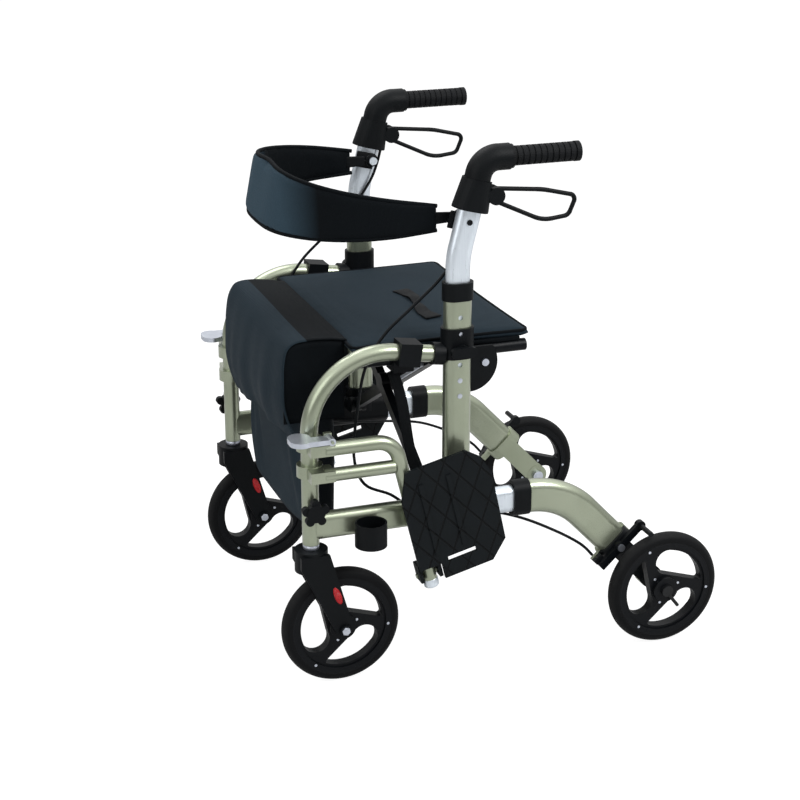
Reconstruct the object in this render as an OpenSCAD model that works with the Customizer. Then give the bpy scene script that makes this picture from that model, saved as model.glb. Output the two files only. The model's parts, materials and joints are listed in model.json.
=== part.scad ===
// Rollator transport chair: folding walking frame with a seat, backrest and footrests.
// Millimetres. +X is the chair's left side, -Y its front, +Z up, floor at Z = 0.

/* [Side frames] */
// Seat's edge to the centre of each side frame
frame_gap = 26; // [25:0.5:40]
// Fore and aft place of the front legs
leg_y = -327; // [-350:1:-300]
// Height of the front legs' lower ends
leg_z = 250; // [245:1:260]
// Outer diameter of the arched front tubes
leg_d = 28; // [27:0.5:30]
// Wall of the frame tubes
tube_wall = 2; // [1.5:0.25:2.5]
// Height at which the arched tube meets its post
arch_z = 545; // [535:1:560]
// Fall of the arched tube's top run in degrees
arch_slope = 8; // [4:0.5:12]
// Bend radius of the arched tube
arch_r = 122; // [100:1:128]
// Front legs' lower ends to the lower rails' centre line
rail_rise = 29; // [26:0.5:34]
// Height of the oval lower rail
rail_h = 46; // [40:1:48]
// Thickness of the oval lower rail
rail_t = 26; // [22:1:27]

/* [Posts] */
// Fore and aft place of the posts
post_y = -80; // [-90:1:-70]
// Depth of the oval post
post_depth = 46; // [45:0.5:50]
// Thickness of the oval post
post_t = 30; // [29:0.5:32]
// Lower rails' centre line to the posts' lower ends
post_foot_rise = 24; // [22:0.5:26]
// Arched tube's end to the height knobs
knob_rise = 8; // [6:0.5:10]
// Height knobs to the posts' upper ends
post_rise = 79; // [70:1:95]
// Diameter of the height holes
hole_d = 8; // [6:0.5:10]
// Spacing of the height holes
hole_pitch = 26; // [24:0.5:28]

/* [Rear legs] */
// Fore and aft place of the rear leg's bend corner
rear_bend_y = 109; // [105:1:115]
// Bend radius of the rear leg
rear_bend_r = 136; // [110:1:138]
// Height of the oval rear leg
rear_leg_h = 58; // [54:1:62]
// Thickness of the oval rear leg
rear_leg_t = 30; // [28:1:34]
// Straight start of the rear leg before its bend
rear_lead = 2.71990; // [2:0.00001:5]
// Tyre to the end of the rear leg
rear_leg_clear = 12; // [10:0.5:16]

/* [Wheels] */
// Diameter of all four wheels
wheel_d = 200; // [190:1:202]
// Width of the tyres
tyre_w = 26; // [22:1:30]
// Front axle to rear axle
wheelbase = 559; // [550:1:562]
// Side frame to the middle of the rear wheels
rear_wheel_out = 52; // [50:1:60]
// Length of the wheel hubs
hub_w = 34; // [32:1:36]
// Diameter of the wheel hubs
hub_d = 44; // [36:1:50]
// Diameter of the axles
axle_d = 12; // [10:0.5:14]
// Thickness of the wheels' spokes
spoke_t = 18; // [14:1:20]

/* [Casters] */
// Thickness of each fork leg
fork_t = 8; // [6:0.5:10]
// Diameter of the fork crown
crown_d = 54; // [50:1:58]
// Diameter of the caster stem
stem_d = 16; // [12:0.5:18]

/* [Handles] */
// Space between the handle tube and its post
handle_play = 1; // [0.3:0.1:1.5]
// Rearward lean of the upper handle tube in degrees
handle_lean = 14; // [11:0.5:16]
// Middle of the handle above its post down to its bend
bend_low = 43; // [35:1:50]
// Height knobs to the handle tube's lower end
handle_in = 65; // [50:1:70]
// Height of the grips
grip_z = 854; // [780:1:940]
// Grips to the foot of the handle housing, along the tube
housing_len = 81.7145; // [78:0.0001:90]
// Diameter of the grips
grip_d = 31; // [28:0.5:34]
// Length of the grips
grip_len = 118; // [100:1:125]
// Grips down to the backrest's pivot pins
back_pin_drop = 97; // [95:0.5:105]

/* [Brakes] */
// Thickness of the brake lever's bars
lever_d = 7.5; // [7:0.5:10]
// Length of the brake bar on the rear leg
brake_bar_len = 96; // [90:1:98]
// Diameter of the rod that presses on the tyre
brake_rod_d = 9; // [7:0.5:10]
// Diameter of the brake cable
cable_d = 5; // [4:0.25:5]

/* [Footrests] */
// Diameter of the hanger tubes
hanger_d = 24; // [22:0.5:25]
// Front leg to the plane of the hanger tubes
hanger_out = 33; // [32:0.5:36]
// Arched tube's end to the hanger's upper tube
hanger_drop = 124; // [110:1:140]
// Hanger's upper tube to its lower tube
hanger_space = 44; // [40:1:50]
// Lean of the hanger in degrees
hanger_lean = 14; // [11:0.5:15]
// Fore and aft place of the hanger's foot
foot_y = -133; // [-136:1:-128]
// Height of the hanger's foot
foot_z = 163; // [160:1:175]
// Width of the footplate
plate_w = 156; // [140:1:160]
// Length of the footplate
plate_h = 192; // [180:1:194]
// Thickness of the footplate
plate_t = 6; // [5:0.5:8]

/* [Cross brace] */
// Side frames to the brace pivots
brace_in = 35; // [34:0.5:40]
// Lower rails' centre line to the lower brace pivots
pivot_rise = 24; // [22:0.5:26]
// Arched tube's end down to the seat rails
seat_rail_drop = 12; // [11:0.5:14]
// Posts to the front brace arm
brace_front_gap = 40; // [38:0.5:42]
// Posts to the rear brace arm
brace_rear_gap = 18; // [16:0.5:20]
// Thickness of the brace arms
brace_t = 14; // [12:0.5:15]
// Width of the brace arms
brace_w = 18; // [14:0.5:20]
// Diameter of the seat rails
seat_rail_d = 20; // [18:0.5:20]

/* [Soft parts] */
// Width of the seat
seat_w = 438; // [380:1:500]
// Front edge of the seat
seat_front_y = -250; // [-252:1:-244]
// Rear edge of the seat
seat_back_y = 60; // [52:1:64]
// Thickness of the seat's edge
seat_edge_t = 9; // [7:0.5:12]
// Rise of the seat's middle above its edge
seat_crown = 7; // [3:0.5:10]
// Width of the bag
bag_w = 356; // [330:1:358]
// Height of the bag's floor
bag_floor_z = 238; // [230:1:250]
// Seat's underside to the bag's rim
bag_rim_drop = 14.5; // [12:0.5:24]
// Depth of the bag
bag_depth = 68; // [60:1:72]
// Side frames to the backrest band
back_in = 32; // [31:0.5:40]
// Front of the backrest band
back_front_y = -315; // [-330:1:-300]
// Corner radius of the backrest band
back_r = 115; // [90:1:120]
// Thickness of the backrest band
back_t = 10; // [8:0.5:10]
// Height of the backrest band at its middle
back_mid_h = 112; // [100:1:130]
// Height of the backrest band at its ends
back_end_h = 48; // [40:1:56]
// Inward lean of the backrest band's front, as run per rise
back_lean = 0.24; // [0:0.02:0.3]

/* [Fits] */
// Radial play of running fits
run_fit = 0.05; // [0.02:0.01:0.1]
// Space between pieces that slide past each other
slide_gap = 0.3; // [0.2:0.05:0.5]

/* [Hidden] */
$fn = 64;
step = 0.3;
lap = 0.4;
side_x = seat_w / 2 + frame_gap;
rail_z = leg_z + rail_rise;
post_foot_z = rail_z + post_foot_rise;
knob_z = arch_z + knob_rise;
hole_first_z = knob_z - 3 * hole_pitch;
post_top_z = knob_z + post_rise;
axle_z = wheel_d / 2;
rear_leg_gap = axle_z + rear_leg_clear;
front_axle_y = -wheelbase / 2;
rear_axle_y = wheelbase / 2;
rear_wheel_x = side_x + rear_wheel_out;
rim_r = axle_z - tyre_w / 2;
web_r = rim_r - 17;
arch_end_y = post_y - post_depth / 2 - 4.5;
arch_corner = [leg_y, arch_z + (arch_end_y - leg_y) * tan(arch_slope)];
arch_end = [arch_end_y, arch_z];
arch_dir = [cos(arch_slope), -sin(arch_slope)];
stem_in = 50;
block_front_y = post_y - 60;
block_back_y = post_y + 49;
block_h = rail_h + 8;
block_t = 34;
socket_h = 22;
rear_corner = [rear_bend_y, rail_z];
rear_axle = [rear_axle_y, axle_z];
leg_dir = (rear_corner - rear_axle) / norm(rear_corner - rear_axle);
rear_start_y = rear_bend_y - rear_bend_r * tan(atan2(leg_dir[1], -leg_dir[0]) / 2) - rear_lead;
band_y = rear_start_y - 29;
leg_normal = [leg_dir[1], -leg_dir[0]];
rear_end = rear_axle + leg_dir * rear_leg_gap;
brake_pivot = rear_axle + leg_dir * (rear_leg_gap - 12);
cap_t = 38;
cradle_y = post_y - 84;
handle_depth = post_depth - 2 * tube_wall - 2 * handle_play;
handle_t = post_t - 2 * tube_wall - 2 * handle_play;
handle_foot_z = knob_z - handle_in;
handle_bend_z = (post_top_z + grip_z) / 2 - bend_low;
lean_dir = [sin(handle_lean), cos(handle_lean)];
grip_corner = [post_y + (grip_z - handle_bend_z) * tan(handle_lean), grip_z];
housing_foot = grip_corner - lean_dir * housing_len;
handle_top = housing_foot + lean_dir * 33;
back_pin_z = grip_z - back_pin_drop;
grip_y = grip_corner[0] + 44;
back_pin_y = post_y + (back_pin_z - handle_bend_z) * tan(handle_lean);
lever_y = grip_y - 24;
lever_z = grip_z - 59;
fork_gap = hub_w + 4;
crown_z = leg_z - 9;
hanger_x = side_x + hanger_out;
hanger_top_z = arch_z - hanger_drop;
hanger_low_z = hanger_top_z - hanger_space;
hanger_up = [-sin(hanger_lean), cos(hanger_lean)];
hanger_corner = [foot_y - (hanger_top_z - foot_z) * tan(hanger_lean), hanger_top_z];
hinge = [foot_y, foot_z] + hanger_up * 22;
brace_half = side_x - brace_in;
brace_low_z = rail_z + pivot_rise;
seat_rail_z = arch_z - seat_rail_drop;
brace_front_y = post_y - brace_front_gap;
brace_rear_y = post_y - brace_rear_gap;
brace_rise = seat_rail_z - brace_low_z;
brace_len = norm([2 * brace_half, brace_rise]);
brace_angle = atan2(brace_rise, 2 * brace_half);
brace_mid_z = (brace_low_z + seat_rail_z) / 2;
lug_t = 7;
seat_z = seat_rail_z + seat_rail_d / 2 + 5.5;
seat_mid_y = (seat_front_y + seat_back_y) / 2;
seat_depth = seat_back_y - seat_front_y;
bag_back_y = seat_front_y - 4;
bag_rim_z = seat_z - bag_rim_drop;
back_half = side_x - back_in;
back_end_y = back_pin_y - 38;

champagne = [0.66, 0.68, 0.58];
silver = [0.80, 0.82, 0.84];
black = [0.06, 0.065, 0.07];
cloth = [0.15, 0.19, 0.22];

// Brake cable route on the left side, from the handle housing to the brake
cable_route = [
  [side_x - 17, -45, grip_z - 83.8], [side_x - 17, -52, grip_z - 109], [side_x - 18, -66, grip_z - 139],
  [side_x - 15, -100, arch_z + 122], [side_x - 15, -150, arch_z + 77], [side_x - 17.5, -196, arch_z + 35],
  [side_x - 20, -226, arch_z - 15], [side_x - 21, -240, arch_z - 85], [side_x - 23, -246, rail_z + 101],
  [side_x - 31, -226, rail_z + 47], [side_x - 33, -180, rail_z + 21], [side_x - 24, -140, rail_z - 7],
  [side_x - 23, -80, rail_z - 17], [side_x - 21, -20, rail_z - 25], [side_x - 7, 40, 238],
  [side_x + 3, 100, 209], [side_x + 7, 145, 180], [side_x + 9, 167, 157]];

// Helpers for side views: local x is Y, local y is Z, local z is X
module in_side(x) {
  translate([x, 0, 0])
    rotate([90, 0, 90])
      children();
}

module across(x0, x1, p, d) {
  in_side(x0)
    translate([p[0], p[1], 0])
      cylinder(d = d, h = x1 - x0);
}

module flip() {
  mirror([1, 0, 0])
    children();
}

module oval(length, width) {
  square([length - width, width], center = true);
  translate([(length - width) / 2, 0])
    circle(d = width);
  translate([(width - length) / 2, 0])
    circle(d = width);
}

module round_wall(d, wall, trim) {
  difference() {
    circle(d = d - trim);
    circle(d = d - 2 * wall + trim);
  }
}

module oval_wall(length, width, wall, trim) {
  difference() {
    oval(length - trim, width - trim);
    oval(length - 2 * wall + trim, width - 2 * wall + trim);
  }
}

// Bent tubes in a side view: straight runs joined by arcs at the corners
function heading(v) = atan2(v[1], v[0]);
function toward(a, b) = (b - a) / norm(b - a);
function turn(u, v) = atan2(u[0] * v[1] - u[1] * v[0], u[0] * v[0] + u[1] * v[1]);
function corner_turn(p, i) = turn(toward(p[i - 1], p[i]), toward(p[i], p[i + 1]));
function cut_back(p, r, i) = r[i - 1] * tan(abs(corner_turn(p, i)) / 2);

module run(a, b) {
  translate([a[0], a[1], 0])
    rotate([0, 0, heading(b - a)])
      rotate([90, 0, 90])
        linear_extrude(norm(b - a))
          children();
}

module corner(p, r, i) {
  u = toward(p[i - 1], p[i]);
  t = corner_turn(p, i);
  start = p[i] - u * cut_back(p, r, i);
  centre = start + sign(t) * r[i - 1] * [-u[1], u[0]];
  first = heading(start - centre) + min(t, 0);
  translate([centre[0], centre[1], 0])
    rotate([0, 0, first])
      rotate_extrude(angle = abs(t))
        translate([r[i - 1], 0])
          children();
}

// First child is the section of the arcs, second the barely smaller section of the runs
module bent(p, r) {
  last = len(p) - 1;
  for (i = [1 : last - 1])
    corner(p, r, i)
      children(0);
  for (i = [0 : last - 1]) {
    u = toward(p[i], p[i + 1]);
    a = i == 0 ? p[0] : p[i] + u * (cut_back(p, r, i) - lap);
    b = i == last - 1 ? p[last] : p[i + 1] - u * (cut_back(p, r, i + 1) - lap);
    run(a, b)
      children(1);
  }
}

// Skins made of rings of points
function split(q) = [[q[0], q[1], q[2]], [q[0], q[2], q[3]]];
function skin_faces(n, m) = concat(
  [for (k = [0 : n - 2], j = [0 : m - 1]) each split([
    k * m + j, (k + 1) * m + j, (k + 1) * m + (j + 1) % m, k * m + (j + 1) % m])],
  [[for (j = [0 : m - 1]) j]],
  [[for (j = [m - 1 : -1 : 0]) (n - 1) * m + j]]);

module skin(rings) {
  polyhedron([for (ring = rings) each ring], skin_faces(len(rings), len(rings[0])));
}

// Side frame tubes
module front_leg() {
  color(champagne)
    in_side(side_x) {
      bent([[leg_y, leg_z + 10], arch_corner, arch_end], [arch_r]) {
        round_wall(leg_d, tube_wall, 0);
        round_wall(leg_d, tube_wall, step);
      }
      difference() {
        run([leg_y, leg_z], [leg_y, leg_z + stem_in + 8])
          circle(d = leg_d - step);
        run([leg_y, leg_z - 1], [leg_y, leg_z + stem_in])
          circle(d = stem_d + 2 * run_fit);
      }
    }
}

module lower_rail() {
  color(champagne)
    difference() {
      in_side(side_x)
        run([leg_y, rail_z], [block_front_y, rail_z])
          oval(rail_h, rail_t);
      in_side(side_x)
        run([leg_y, rail_z], [block_front_y + 1, rail_z])
          oval(rail_h - 2 * tube_wall, rail_t - 2 * tube_wall);
      translate([side_x, leg_y, leg_z - 1])
        cylinder(d = leg_d + 2 * run_fit, h = rail_h + 60);
    }
}

module post_shape(grow) {
  rotate([0, 0, 90])
    oval(post_depth + grow, post_t + grow);
}

module post_bore() {
  rotate([0, 0, 90])
    oval(handle_depth + 2 * slide_gap, handle_t + 2 * slide_gap);
}

module post() {
  color(champagne)
    difference() {
      translate([side_x, post_y, post_foot_z])
        linear_extrude(post_top_z - post_foot_z)
          post_shape(0);
      translate([side_x, post_y, post_foot_z - 1])
        linear_extrude(post_top_z - post_foot_z + 2)
          post_bore();
      for (k = [0 : 5])
        across(side_x + 5, side_x + post_t, [post_y, hole_first_z + k * hole_pitch], hole_d);
    }
}

module post_collar() {
  color(black)
    difference() {
      translate([side_x, post_y, post_top_z])
        linear_extrude(29)
          post_shape(5);
      translate([side_x, post_y, post_top_z - 1])
        linear_extrude(31)
          post_bore();
    }
}

// Moulded block at the post's foot, with the lugs of the brace pivot
module joint_block(arm_y) {
  color(black)
    difference() {
      union() {
        in_side(side_x)
          run([block_front_y, rail_z], [block_back_y, rail_z])
            oval(block_h, block_t);
        translate([side_x, post_y, rail_z])
          linear_extrude(post_foot_z + socket_h - rail_z)
            post_shape(8);
        for (k = [-1, 1]) {
          lug_y = arm_y + k * (brace_t / 2 + 0.5 + lug_t / 2);
          translate([brace_half, lug_y, brace_low_z])
            rotate([90, 0, 0])
              cylinder(d = 28, h = lug_t, center = true);
          translate([brace_half, lug_y - lug_t / 2, brace_low_z - 14])
            cube([side_x - brace_half - 6, lug_t, 18]);
        }
      }
      translate([side_x, post_y, post_foot_z])
        linear_extrude(socket_h + 1)
          post_shape(2 * run_fit);
      translate([brace_half, arm_y, brace_low_z])
        rotate([90, 0, 0])
          cylinder(d = 14 + 2 * run_fit, h = 60, center = true);
    }
}

// Ring on the post that takes the arched tube, with its rear gusset
module seat_bracket() {
  color(black)
    difference() {
      union() {
        translate([side_x, post_y, knob_z - 16])
          linear_extrude(50)
            post_shape(8);
        in_side(side_x)
          run(arch_end + 3 * arch_dir, arch_end - 16 * arch_dir)
            circle(d = leg_d + 8);
        difference() {
          across(side_x - 13, side_x - 7, [post_y + 25, knob_z - 33], 96);
          translate([side_x - 20, post_y - 60, knob_z - 90])
            cube([20, 82, 140]);
          translate([side_x - 20, post_y, knob_z - 6])
            cube([20, 90, 60]);
        }
      }
      translate([side_x, post_y, knob_z - 17])
        linear_extrude(52)
          post_shape(2 * run_fit);
      in_side(side_x)
        run(arch_end, arch_end - 20 * arch_dir)
          circle(d = leg_d + 2 * run_fit);
      for (k = [3, 4])
        across(side_x + 5, side_x + post_t, [post_y, hole_first_z + k * hole_pitch], hole_d);
      across(side_x - 20, side_x, [post_y + 51, knob_z - 33], 6 + 2 * run_fit);
    }
}

// Clip on the arched tube whose open hook carries the seat rail
module rail_cradle() {
  clip = arch_end - arch_dir * ((arch_end_y - cradle_y) / cos(arch_slope));
  color(black)
    difference() {
      union() {
        in_side(side_x)
          run(clip - 18 * arch_dir, clip + 18 * arch_dir)
            square([leg_d + 9, leg_d + 9], center = true);
        translate([brace_half - 16, cradle_y - 17, seat_rail_z - 18])
          cube([side_x - brace_half - 1, 34, 18]);
        translate([brace_half + 10.6, cradle_y - 17, seat_rail_z - 18])
          cube([side_x - brace_half - 26, 34, 32]);
      }
      in_side(side_x)
        run(clip - 40 * arch_dir, clip + 40 * arch_dir)
          circle(d = leg_d + 2 * run_fit);
      translate([brace_half, cradle_y + 40, seat_rail_z])
        rotate([90, 0, 0])
          cylinder(d = seat_rail_d + 2 * slide_gap, h = 80);
    }
}

// Rear half of the side frame
module coupling() {
  color(silver)
    in_side(side_x)
      difference() {
        run([block_back_y, rail_z], [rear_start_y, rail_z])
          oval(rail_h, rail_t);
        run([block_back_y - 1, rail_z], [rear_start_y + 1, rail_z])
          oval(rail_h - 2 * tube_wall, rail_t - 2 * tube_wall);
      }
}

module coupling_band() {
  color(black)
    in_side(side_x)
      difference() {
        run([band_y, rail_z], [rear_start_y, rail_z])
          oval(rear_leg_h + 4, rear_leg_t + 6);
        run([band_y - 1, rail_z], [rear_start_y + 1, rail_z])
          oval(rail_h + 2 * run_fit, rail_t + 2 * run_fit);
      }
}

module rear_leg() {
  start = [rear_start_y, rail_z];
  color(champagne)
    in_side(side_x)
      bent([start, rear_corner, rear_end], [rear_bend_r]) {
        oval_wall(rear_leg_h, rear_leg_t, tube_wall, 0);
        oval_wall(rear_leg_h, rear_leg_t, tube_wall, step);
      }
}

// Cap and arm that carry the rear axle, the brake pivot and the cable stop
module axle_bracket() {
  stop = brake_pivot - leg_normal * 40;
  color(black)
    difference() {
      union() {
        in_side(side_x) {
          run(rear_end, rear_end - leg_dir * 24)
            oval(rear_leg_h + 8, cap_t);
          run(rear_end - leg_dir * 12, rear_axle)
            square([37, 23], center = true);
          run(stop + leg_dir * 2, stop + leg_dir * 11)
            translate([0, 8])
              square([18, 16], center = true);
        }
        across(side_x - 12, side_x + 12, rear_axle, 40);
        across(side_x + 8, rear_wheel_x - hub_w / 2 - slide_gap, rear_axle, 24);
      }
      across(side_x - 30, rear_wheel_x, rear_axle, axle_d + 2 * run_fit);
      across(side_x, side_x + 30, brake_pivot, 7 + 2 * run_fit);
      in_side(side_x)
        run(stop - leg_dir * 8, stop + leg_dir * 20)
          translate([0, 9])
            circle(d = cable_d + 1);
    }
}

// Rear axle, brake pivot screw, gusset bolt and block bolts
module frame_bolts() {
  hub_out = rear_wheel_x + hub_w / 2 + slide_gap;
  color(silver) {
    across(side_x - 20, hub_out + 6, rear_axle, axle_d);
    across(side_x - 19, side_x - 12 - run_fit, rear_axle, 20);
    across(hub_out, hub_out + 6, rear_axle, 20);
    in_side(hub_out + 3.5)
      run(rear_axle + [3, -7], rear_axle + [21, -30])
        circle(d = 6);
    across(side_x + 6, side_x + cap_t / 2 + 13.5, brake_pivot, 7);
    across(side_x + cap_t / 2 + 10.5, side_x + cap_t / 2 + 13.5, brake_pivot, 13);
    across(side_x - 18, side_x - 3, [post_y + 51, knob_z - 33], 6);
    across(side_x - 7, side_x - 3, [post_y + 51, knob_z - 33], 12);
    for (y = [block_front_y + 14, block_back_y - 12])
      across(side_x + block_t / 2, side_x + block_t / 2 + 3, [y, rail_z], 10);
  }
}

// Wheels: tyre, rim, hub and spokes in one moulding, with three drop-shaped openings
module wheel_opening() {
  edge = hub_d / 2 + 3;
  wide = (web_r - edge) / 2 - 0.5;
  wide_at = [-sqrt(pow(web_r - wide, 2) - pow(edge + wide, 2)), edge + wide];
  tip_at = [sqrt(pow(web_r - 4, 2) - pow(edge + 4, 2)), edge + 4];
  intersection() {
    cylinder(r = web_r, h = 2 * hub_w, center = true);
    translate([0, 0, -hub_w])
      linear_extrude(2 * hub_w)
        polygon([
          [wide_at[0], edge], wide_at, 1.6 * wide_at, [10, 1.5 * web_r], [80, 1.5 * web_r],
          1.6 * tip_at, tip_at, [tip_at[0], edge]]);
  }
  translate([wide_at[0], wide_at[1], 0])
    cylinder(r = wide + 0.3, h = 2 * hub_w, center = true);
  translate([tip_at[0], tip_at[1], 0])
    cylinder(r = 4.1, h = 2 * hub_w, center = true);
}

module wheel() {
  difference() {
    union() {
      rotate_extrude() {
        translate([rim_r, 0])
          circle(d = tyre_w);
        translate([rim_r - 12, -tyre_w / 2 + 1])
          square([12, tyre_w - 2]);
      }
      cylinder(r = rim_r - 6, h = spoke_t, center = true);
      cylinder(d = hub_d, h = hub_w, center = true);
    }
    for (a = [0 : 120 : 240])
      rotate([0, 0, a + 222.6])
        wheel_opening();
    cylinder(d = axle_d + 2 * run_fit, h = 2 * hub_w, center = true);
  }
}

module front_wheel() {
  color(black)
    in_side(side_x)
      translate([front_axle_y, axle_z, 0])
        wheel();
}

module rear_wheel() {
  color(black)
    in_side(rear_wheel_x)
      translate([rear_axle_y, axle_z, 0])
        wheel();
}

// Caster fork with its stem and axle
module caster_fork() {
  axle = [front_axle_y, axle_z];
  crown_low = axle_z + axle_z + 4;
  half = fork_gap / 2;
  color(black) {
    translate([side_x, leg_y, crown_low])
      cylinder(d = crown_d, h = crown_z - crown_low);
    translate([side_x, leg_y, crown_low])
      cylinder(d = stem_d, h = leg_z + stem_in - 6 - crown_low);
    translate([side_x, leg_y, crown_z - 1])
      cylinder(d = leg_d - 4, h = leg_z - crown_z + 1 - slide_gap);
    for (k = [-1, 1])
      in_side(side_x + k * (half + fork_t / 2)) {
        linear_extrude(fork_t, center = true)
          polygon([
            [leg_y - 24, crown_z - 5], [leg_y - 24, crown_z - 26], [front_axle_y - 14, axle_z - 5],
            [front_axle_y + 14, axle_z + 5], [leg_y + 24, crown_z - 5]]);
        translate([front_axle_y, axle_z, 0])
          cylinder(d = 30, h = fork_t, center = true);
      }
    across(side_x - half - fork_t - 4, side_x + half + fork_t + 4, axle, axle_d);
    for (k = [-1, 1])
      in_side(side_x + k * (half + fork_t + 2))
        translate([front_axle_y, axle_z, 0])
          cylinder(d = 19, h = 5, center = true);
    for (k = [-1, 1])
      in_side(side_x + k * (half - 0.35))
        translate([front_axle_y, axle_z, 0])
          cylinder(d = 20, h = 2.5, center = true);
  }
}

// Height-adjustable handles
module handle_tube() {
  wall_x = side_x - handle_t / 2;
  color(silver) {
    in_side(side_x)
      bent([[post_y, handle_foot_z], [post_y, handle_bend_z], handle_top], [140]) {
        oval_wall(handle_depth, handle_t, tube_wall, 0);
        oval_wall(handle_depth, handle_t, tube_wall, step);
      }
    across(back_half - 7.4, side_x + handle_t / 2 + 1, [back_pin_y, back_pin_z], 8);
    across(back_half - 9.4, back_half - 6.4, [back_pin_y, back_pin_z], 14);
    across(back_half + 6.4, wall_x + 0.6, [back_pin_y, back_pin_z], 12);
  }
}

module handle_housing() {
  knee = housing_foot + lean_dir * 46;
  color(black)
    difference() {
      union() {
        hull() {
          in_side(side_x)
            run(housing_foot, housing_foot + lean_dir * 3)
              oval(60, 44, $fn = 32);
          in_side(side_x)
            run(knee, knee + lean_dir * 3)
              oval(48, 44, $fn = 32);
        }
        in_side(side_x)
          bent([knee, grip_corner, [grip_y, grip_z]], [32]) {
            circle(d = 42);
            circle(d = 42 - step);
          }
        in_side(side_x)
          run([grip_y - 1, grip_z], [grip_y + grip_len - 8, grip_z])
            circle(d = 20);
        across(side_x - 14, side_x + 14, [lever_y, lever_z], 28);
      }
      in_side(side_x)
        run(housing_foot - lean_dir, handle_top)
          oval(handle_depth + 2 * run_fit, handle_t + 2 * run_fit);
      difference() {
        translate([side_x - lever_d / 2 - 1, lever_y - 18, lever_z - 40])
          cube([lever_d + 2, 70, 64]);
        across(side_x - 12, side_x + 12, [lever_y, lever_z], 6);
      }
    }
}

module grip() {
  color(black)
    difference() {
      union() {
        in_side(side_x) {
          run([grip_y, grip_z], [grip_y + grip_len, grip_z])
            circle(d = grip_d - 3);
          run([grip_y, grip_z], [grip_y + 5, grip_z])
            circle(d = grip_d + 7);
          for (k = [0 : 9])
            run([grip_y + 10 + k * 10, grip_z], [grip_y + 17 + k * 10, grip_z])
              circle(d = grip_d);
          run([grip_y + grip_len - 8, grip_z], [grip_y + grip_len, grip_z])
            circle(d = grip_d + 1);
        }
      }
      in_side(side_x)
        run([grip_y - 1, grip_z], [grip_y + grip_len - 7, grip_z])
          circle(d = 20 + 2 * run_fit);
    }
}

// Brake levers, brake bars and cables
module brake_lever() {
  pivot = [lever_y, lever_z];
  loop = [
    pivot + [0, 10], pivot + [83, 2], pivot + [141, -12], pivot + [128, -43],
    pivot + [84, -48], pivot + [2, -10]];
  color(black)
    in_side(side_x)
      difference() {
        union() {
          bent(loop, [150, 9, 12, 60]) {
            circle(d = lever_d);
            circle(d = lever_d - step);
          }
          translate([pivot[0], pivot[1], 0])
            cylinder(d = 24, h = lever_d + 1, center = true);
        }
        translate([pivot[0], pivot[1], 0])
          cylinder(d = 6 + 2 * run_fit, h = 40, center = true);
      }
}

module brake_arm() {
  inner_x = side_x + cap_t / 2 + slide_gap;
  rod = brake_pivot + leg_normal * (brake_bar_len / 2 + 2);
  color(black)
    difference() {
      union() {
        in_side(inner_x + 5)
          run(brake_pivot - leg_normal * (brake_bar_len / 2), rod)
            square([13, 9], center = true);
        across(inner_x, inner_x + 10, brake_pivot, 20);
        across(inner_x, inner_x + 10, rod, 17);
        across(inner_x + 2, rear_wheel_x + tyre_w / 2 + 2, rod, brake_rod_d);
      }
      across(inner_x - 5, inner_x + 20, brake_pivot, 7 + 2 * run_fit);
    }
}

function blend(p, i, t) = 0.5 * (
  2 * p[i] + (p[i + 1] - p[i - 1]) * t
  + (2 * p[i - 1] - 5 * p[i] + 4 * p[i + 1] - p[i + 2]) * t * t
  + (3 * p[i] - p[i - 1] - 3 * p[i + 1] + p[i + 2]) * t * t * t);

function unit(v) = v / norm(v);

module brake_cable() {
  last = len(cable_route) - 1;
  ends = concat(
    [2 * cable_route[0] - cable_route[1]], cable_route,
    [2 * cable_route[last] - cable_route[last - 1]]);
  line = concat(
    [for (i = [1 : last], t = [0 : 0.25 : 0.75]) blend(ends, i, t)],
    [cable_route[last]]);
  count = len(line);
  color(black)
    skin([for (k = [0 : count - 1])
      let (
        along = unit(line[min(k + 1, count - 1)] - line[max(k - 1, 0)]),
        side = unit([1, 0, 0] - along * along[0]),
        up = cross(along, side))
      [for (a = [0 : 45 : 315]) line[k] + cable_d / 2 * (cos(a) * side + sin(a) * up)]]);
}

// Swing-away footrests, stowed along the outer side of the frame
module hanger() {
  low_end = [foot_y - (hanger_low_z - foot_z) * tan(hanger_lean), hanger_low_z];
  color(champagne)
    difference() {
      union() {
        in_side(hanger_x) {
          bent([[leg_y + 14, hanger_top_z], hanger_corner, [foot_y, foot_z]], [38]) {
            round_wall(hanger_d, 2.5, 0);
            round_wall(hanger_d, 2.5, step);
          }
          run([leg_y + 14, hanger_low_z], low_end - [hanger_d / 2 - 1, 0])
            circle(d = hanger_d - 2);
        }
        for (z = [hanger_low_z, hanger_top_z]) {
          translate([side_x, leg_y, z - 10])
            cylinder(d = leg_d + 14, h = 20);
          translate([side_x + 10, leg_y - 10, z - 9])
            cube([hanger_out, 40, 18]);
        }
        translate([hanger_x - 8, leg_y + 15, hanger_top_z])
          cube([7.5, 12, 26]);
        in_side(hanger_x)
          translate([hinge[0], hinge[1], 0])
            rotate([0, 90, hanger_lean])
              cylinder(d = 8, h = 44, center = true);
        across(hanger_x - 2, hanger_x + 25, [leg_y + 21, hanger_top_z + 19], 5);
      }
      for (z = [hanger_low_z, hanger_top_z])
        translate([side_x, leg_y, z - 30])
          cylinder(d = leg_d + 2 * run_fit, h = 60);
    }
}

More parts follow.
